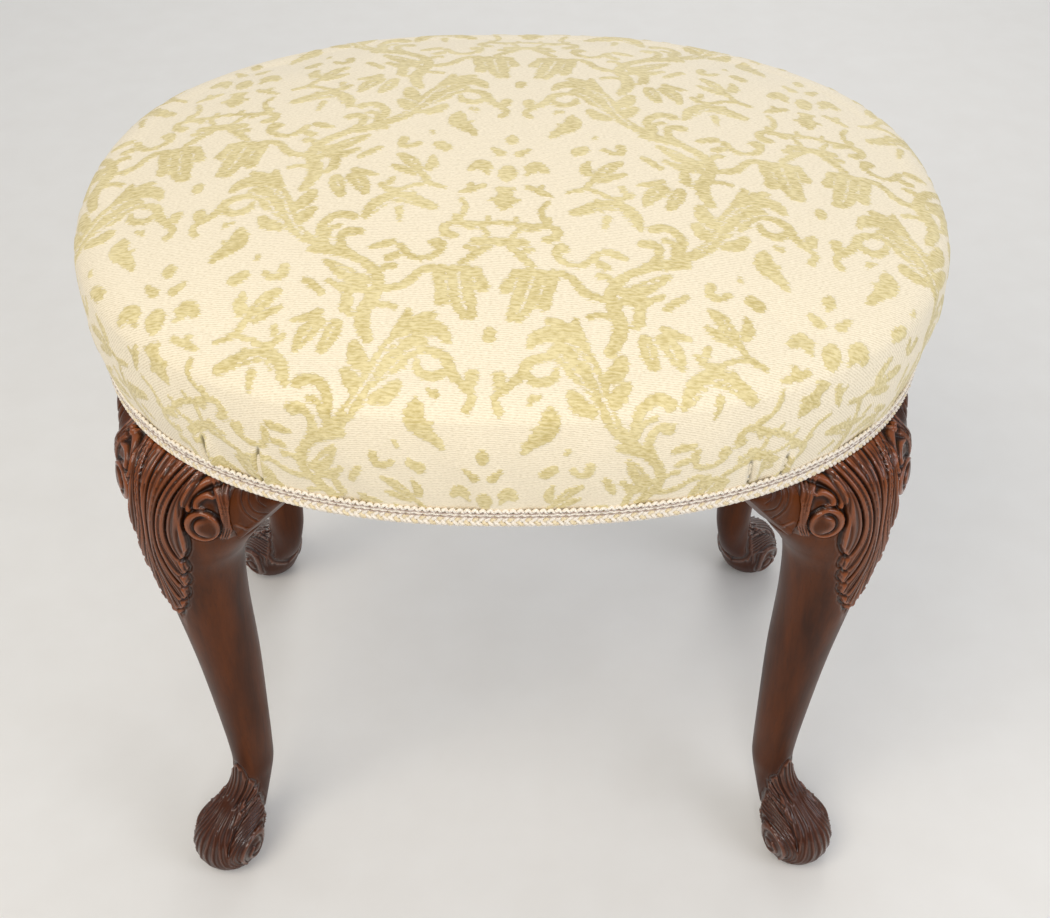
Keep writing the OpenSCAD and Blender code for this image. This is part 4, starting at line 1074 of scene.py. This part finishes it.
# The tucks at the left and at the right: the angles round the seat of each one's foot and
# head in degrees, and its length in millimetres. The cloth rises on both sides of its crease.
# Their feet lie this far over the cover's lower end. An end is where the cloth's points lie
# that are this close to it, as an angle and as a distance down the wall.
tuck_foot, near_turn, near_down = 16.0, 0.006, 2
turn, _ = around(x, y)
crease_shade_amount = np.zeros(len(x))
for sx, tucks in ((-1, ((43.5, 44.2, 27), (51.9, 53.7, 38))), (1, ((50.0, 50.4, 22), (54.9, 56.2, 26)))):
    for sy in (-1, 1):
        for foot_turn, head_turn, length in tucks:
            ends = []
            for angle, rise in ((foot_turn, tuck_foot), (head_turn, tuck_foot + length)):
                a = math.atan2(sy * math.sin(math.radians(angle)), sx * math.cos(math.radians(angle)))
                close = np.abs(turn % (2 * np.pi) - a % (2 * np.pi)) < near_turn
                close &= np.abs(down.max() - rise - down) < near_down
                ends.append(flat[close].mean(0))
            way = (ends[1] - ends[0]) / np.linalg.norm(ends[1] - ends[0])
            gone = flat - ends[0]
            run, off = gone @ way, gone @ np.array([way[1], -way[0]])
            fade = soft_step(length, 0.5 * length, run) * soft_step(-6, 3, run)
            push += fade * (2.2 * np.exp(-((off - 3.6) / 2.6) ** 2) + 1.6 * np.exp(-((off + 3.4) / 2.8) ** 2)
                            - 1.9 * np.exp(-(off / 1.5) ** 2))
            along = soft_step(length, 0.7 * length, run) * soft_step(-9, -5, run)
            # How closely each point lies to a crease, for the painted shade that darkens it
            crease_shade_amount = np.maximum(crease_shade_amount, along * np.exp(-(off / 1.35) ** 2))

# Faint ripples down the wall, where the cloth was pulled: their height, how many there are
# round the seat, and how they waver. The gold stands 0.35 mm over the ground.
for rise, count, waver in ((0.5, 23, 0.031), (0.35, 41, 0.043)):
    push += rise * soft_step(20, 60, down) * np.sin(turn * count + 2.0 * np.sin(down * waver))
lift = (push + 0.35 * soft_step(-0.6, 0.6, pile_height))[order]
raised = points[order] + facing(points[order], fine) * lift[:, None]
points[order] = raised
move(work, points)
bmesh.ops.recalc_face_normals(work, faces=work.faces)

# The cover's inner face is a coarser grid, which is joined to the outer one along the hem
inner, x2, y2 = grid(cover_cells, cover_cells)
lining = (raised - facing(raised, fine) * cover_t).reshape(fine + 1, fine + 1, 3)
spots = np.empty((len(x2), 3))
spots[row_order(x2, y2, cover_cells, cover_cells)] = lining[::cover_finer, ::cover_finer].reshape(-1, 3)
move(inner, spots)
bmesh.ops.recalc_face_normals(inner, faces=inner.faces)
bmesh.ops.reverse_faces(inner, faces=inner.faces)
outer_count = len(work.verts)
add_part(work, inner)
bmesh.ops.bridge_loops(work, edges=[e for e in work.edges if e.is_boundary])

# A matt cream ground with uneven ribs 1.3 mm apart. The figure is of soft, sage-gold chenille
# with a ragged edge, and stands a little higher. The creases of the tucks get a painted shade.
damask, tree = new_material("cream_and_gold_damask")
place = add(tree, "UVMap", uv_map="cloth")
across = add(tree, "Mapping", {"Vector": place, "Rotation": (0, 0, cloth_turn)})
pile = add(tree, "Attribute", attribute_name="pile").outputs["Fac"]
dashes = add(tree, "Mapping", {"Vector": across, "Scale": (0.3, 1.0, 1.0)})
ragged = add(tree, "TexNoise", {"Vector": dashes, "Scale": 800.0, "Detail": 2.0})
ragged_edge = add(tree, "Math", {0: ragged.outputs["Fac"], 1: 6.0, 2: -2.9}, operation="MULTIPLY_ADD")
edge = add(tree, "Math", {0: pile, 1: ragged_edge}, operation="ADD")
figured = add(tree, "MapRange", {0: edge, 1: -0.22, 2: 0.22, 3: 0.0, 4: 1.0})
rib = add(tree, "TexWave", {
    "Vector": across, "Scale": 240.0, "Distortion": 2.0, "Detail": 2.0, "Detail Scale": 1.5},
          bands_direction="Y")
flecks = add(tree, "TexNoise", {"Vector": dashes, "Scale": 1700.0, "Detail": 1.0})
slub = add(tree, "Math", {0: rib.outputs["Fac"], 1: 0.35, 2: flecks.outputs["Fac"]},
           operation="MULTIPLY_ADD")
ribbed = add(tree, "MapRange", {0: slub, 1: 0.36, 2: 0.82})
ground = add(tree, "Mix", {0: ribbed, 6: colour("#DFD0B0"), 7: colour("#FAEDD2")}, data_type="RGBA")
cloudy = add(tree, "TexNoise", {"Vector": across, "Scale": 28.0, "Detail": 3.0})
tufts = add(tree, "MapRange", {0: ragged.outputs["Fac"], 1: 0.35, 2: 0.66})
chenille = add(tree, "Math", {0: tufts, 1: 0.75, 2: cloudy.outputs["Fac"]}, operation="MULTIPLY_ADD")
soft = add(tree, "MapRange", {0: chenille, 1: 0.4, 2: 1.2})
gold = add(tree, "Mix", {0: soft, 6: colour("#C6B270"), 7: colour("#EADAA6")}, data_type="RGBA")
tone = add(tree, "Mix", {0: figured, 6: ground, 7: gold}, data_type="RGBA")
# Painted shade: the colour darkens to a dark olive-brown along the tucks' creases
fold = add(tree, "Attribute", attribute_name="fold").outputs["Fac"]
crease_shade_mask = add(tree, "MapRange", {0: fold, 1: 0.3, 2: 0.85, 3: 0.0, 4: 0.85})
folded = add(tree, "Mix", {0: crease_shade_mask, 6: tone, 7: colour("#5C5230")}, data_type="RGBA")
tufted = add(tree, "Math", {0: figured, 1: ragged.outputs["Fac"]}, operation="MULTIPLY")
thickness = add(tree, "Math", {0: slub, 1: 0.6, 2: tufted}, operation="MULTIPLY_ADD")
bump = add(tree, "Bump", {"Height": thickness, "Strength": 0.6, "Distance": 0.0006})
body = add(tree, "BsdfPrincipled", {
    "Base Color": folded, "Roughness": 0.75, "Sheen Weight": 0.25, "Normal": bump})
add(tree, "OutputMaterial", {"Surface": body})

cover = piece_of(work, "damask_seat_cover", damask, "damask_cover")
vertex_count = len(cover.data.vertices)
# The pattern's height and the painted shade of the tucks' creases are stored on the outer face's points
for name, elsewhere, values in (("pile", -3.0, pile_height), ("fold", 0.0, crease_shade_amount)):
    whole = np.full(vertex_count, elsewhere)
    whole[:len(values)] = values
    cover.data.attributes.new(name, "FLOAT", "POINT").data.foreach_set("value", whole)
cloth_spots = np.zeros((vertex_count, 2))
cloth_spots[:len(flat)] = flat
cloth_spots[outer_count:outer_count + len(x2)] = laid_flat(x2, y2)
face_corners = np.empty(len(cover.data.loops), int)
cover.data.loops.foreach_get("vertex_index", face_corners)
cloth_map = cover.data.uv_layers.new(name="cloth")
cloth_map.data.foreach_set("uv", (cloth_spots[face_corners] * mm + 0.5).ravel())

# Gimp braid
# A flat braid of cream, gold and grey-mauve threads, glued over the tacks along the cover's
# lower edge: a row of small loops, a thin cord and a plait.

# Spun silk and cotton: pale, soft threads with a slight sheen and a twist 1 to 2 mm long. Their
# hue comes from the attribute strand: 0 for cream, 1 for gold and 2 for grey-mauve.
gimp, tree = new_material("cream_and_gold_braid")
place = add(tree, "TexCoord").outputs["Object"]
strand = add(tree, "Attribute", attribute_name="strand").outputs["Fac"]
fuzz = add(tree, "TexNoise", {"Vector": place, "Scale": 700.0, "Detail": 3.0})
spun = add(tree, "TexWave", {"Vector": place, "Scale": 320.0, "Distortion": 1.0},
           bands_direction="DIAGONAL")
cream = add(tree, "Mix", {0: fuzz.outputs["Fac"], 6: colour("#EBDCC6"), 7: colour("#FFF9EE")},
            data_type="RGBA")
gilt = add(tree, "Mix", {0: fuzz.outputs["Fac"], 6: colour("#DDC595"), 7: colour("#F9ECCD")},
           data_type="RGBA")
mauve = add(tree, "Mix", {0: fuzz.outputs["Fac"], 6: colour("#9C8478"), 7: colour("#CBB6A8")},
            data_type="RGBA")
golden = add(tree, "MapRange", {0: strand, 1: 0.4, 2: 0.6})
greyed = add(tree, "MapRange", {0: strand, 1: 1.4, 2: 1.6})
first = add(tree, "Mix", {0: golden, 6: cream, 7: gilt}, data_type="RGBA")
tone = add(tree, "Mix", {0: greyed, 6: first, 7: mauve}, data_type="RGBA")
bump = add(tree, "Bump", {"Height": spun.outputs["Fac"], "Strength": 0.5, "Distance": 0.0003})
body = add(tree, "BsdfPrincipled", {
    "Base Color": tone, "Roughness": 0.7, "Sheen Weight": 0.2, "Normal": bump})
add(tree, "OutputMaterial", {"Surface": body})

turns = np.linspace(0, 2 * np.pi, 2881)
seat_line = oval(turns)
run = np.concatenate([[0], np.cumsum(np.hypot(*np.diff(seat_line, axis=0).T))])
girth_of_seat = run[-1]


def thread(centre, radius, steps, sides):
    """A bmesh tube round the seat. centre gives growth and height at a share of the way round"""
    work, x, y = grid(sides, steps)
    share, turn = y % 1.0, 2 * np.pi * x

    def spot(s):
        grow, z = centre(s)
        t = np.interp((s % 1.0) * girth_of_seat, run, turns)
        return np.column_stack([oval(t, grow), z])

    middle, ahead = spot(share), spot(share + 1e-5) - spot(share - 1e-5)
    ahead /= np.linalg.norm(ahead, axis=1)[:, None]
    side = np.cross(ahead, np.array([0, 0, 1.0]))
    side /= np.linalg.norm(side, axis=1)[:, None]
    up = np.cross(side, ahead)
    move(work, middle + radius * (np.cos(turn)[:, None] * side + np.sin(turn)[:, None] * up))
    bmesh.ops.remove_doubles(work, verts=work.verts, dist=2e-6)
    bmesh.ops.recalc_face_normals(work, faces=work.faces)
    return work


def lean(z):
    """How far the cover stands out from the seat's line at a height"""
    return wall_swell * np.sin(swell_turn * (z - leg_h) / wall_h)


def laid_at(z, out, wave, sway, count, phase=0.0):
    """A thread's growth and height at a share of the way, with waves in and out and up and down"""
    def centre(share):
        turn = 2 * np.pi * count * share + phase
        return lean(leg_h + z) + out + wave * np.sin(2 * turn), leg_h + z + sway * np.sin(turn)
    return centre


# How many plaits, loops and stitches fit round the seat, from their length in millimetres.
# Each thread: where it lies, its radius, its steps round the seat, its sides and its hue.
plaits, picots, stitches = (round(girth_of_seat / length) for length in (9.0, 3.8, 4.5))
threads = [(laid_at(5.4, 1.9, 0.7, 2.6, plaits, 2 * np.pi * k / 3), 1.25, 2400, 6, hue)
           for k, hue in enumerate((0, 0, 1))]
threads += [
    (laid_at(0.4, 1.9, 0.1, 0.3, picots), 0.85, 1800, 5, 0),
    (laid_at(10.2, 1.7, 0.1, 0.4, stitches), 0.85, 1800, 5, 0),
    (laid_at(13.0, 1.2, 0.2, 0.9, picots), 1.0, 2960, 5, 0),
    (laid_at(11.6, 2.0, 0.1, 0.4, plaits, 1.0), 0.42, 1960, 4, 2),
    (laid_at(8.9, 2.4, 0.1, 0.4, stitches, 2.0), 0.4, 1960, 4, 2),
    (laid_at(1.9, 2.5, 0.1, 0.4, stitches), 0.4, 1960, 4, 2),
]
braid = bmesh.new()
braid.verts.layers.float.new("strand")
for centre, radius, steps, sides, hue in threads:
    part = thread(centre, radius, steps, sides)
    tag = part.verts.layers.float.new("strand")
    for v in part.verts:
        v[tag] = hue
    add_part(braid, part)
piece_of(braid, "gimp_braid_round_seat", gimp, "gimp_braid")

# Bottoming cloth
# Thin black cloth, tacked under the rails, with its corners cut out round the legs. It sags a
# little and keeps the dust in.

# Millimetres: the cloth's thickness, its lap under the rails, their thickness and its sag
dust_t, dust_lap, rail_t, dust_sag = 0.8, 6, 26, 2.5

# Close black cotton, quite matt, with threads 0.45 mm apart
black_cloth = cloth_finish("black_bottoming_cloth", "#141414", "#2B2B2A", 700.0, 0.95, 0.1)
work, x, y = grid(48, 48)
turn, share = around(x, y)
flat = oval(turn, -rail_in - rail_t + dust_lap) * share[:, None]
move(work, np.column_stack([flat, leg_h - 0.05 - dust_sag * (1 - share ** 2) * (share < 0.9)]))

# At each leg the cloth is cut along three lines round the post, and what lies there taken out
leg_zone = 0.11
for sx in (-1, 1):
    for sy in (-1, 1):
        way = Vector((sx * out_way[0], sy * out_way[1], 0))
        along = Vector((sx * along_way[0], sy * along_way[1], 0))
        at = Vector((sx * corner[0], sy * corner[1], 0)) * mm
        inner = at - way * (post_d + layer_gap) * mm
        side_cut = along * (knee_half + layer_gap) * mm
        for spot, normal in ((inner, way), (at + side_cut, along), (at - side_cut, along)):
            around_leg = [f for f in work.faces if (f.calc_center_median() - at).to_2d().length < leg_zone]
            geom = around_leg + list({e for f in around_leg for e in f.edges})
            geom += list({v for f in around_leg for v in f.verts})
            bmesh.ops.bisect_plane(work, geom=geom, plane_co=spot, plane_no=normal, dist=1e-6)
        gone = [f for f in work.faces
                if (f.calc_center_median() - inner).dot(way) > 0
                and abs((f.calc_center_median() - at).dot(along)) < (knee_half + layer_gap) * mm
                and (f.calc_center_median() - at).to_2d().length < leg_zone]
        bmesh.ops.delete(work, geom=gone, context="FACES")
bmesh.ops.recalc_face_normals(work, faces=work.faces)
bmesh.ops.solidify(work, geom=work.faces[:], thickness=dust_t * mm)
bmesh.ops.recalc_face_normals(work, faces=work.faces)
dust = piece_of(work, "bottoming_cloth", black_cloth, "dust_cover")
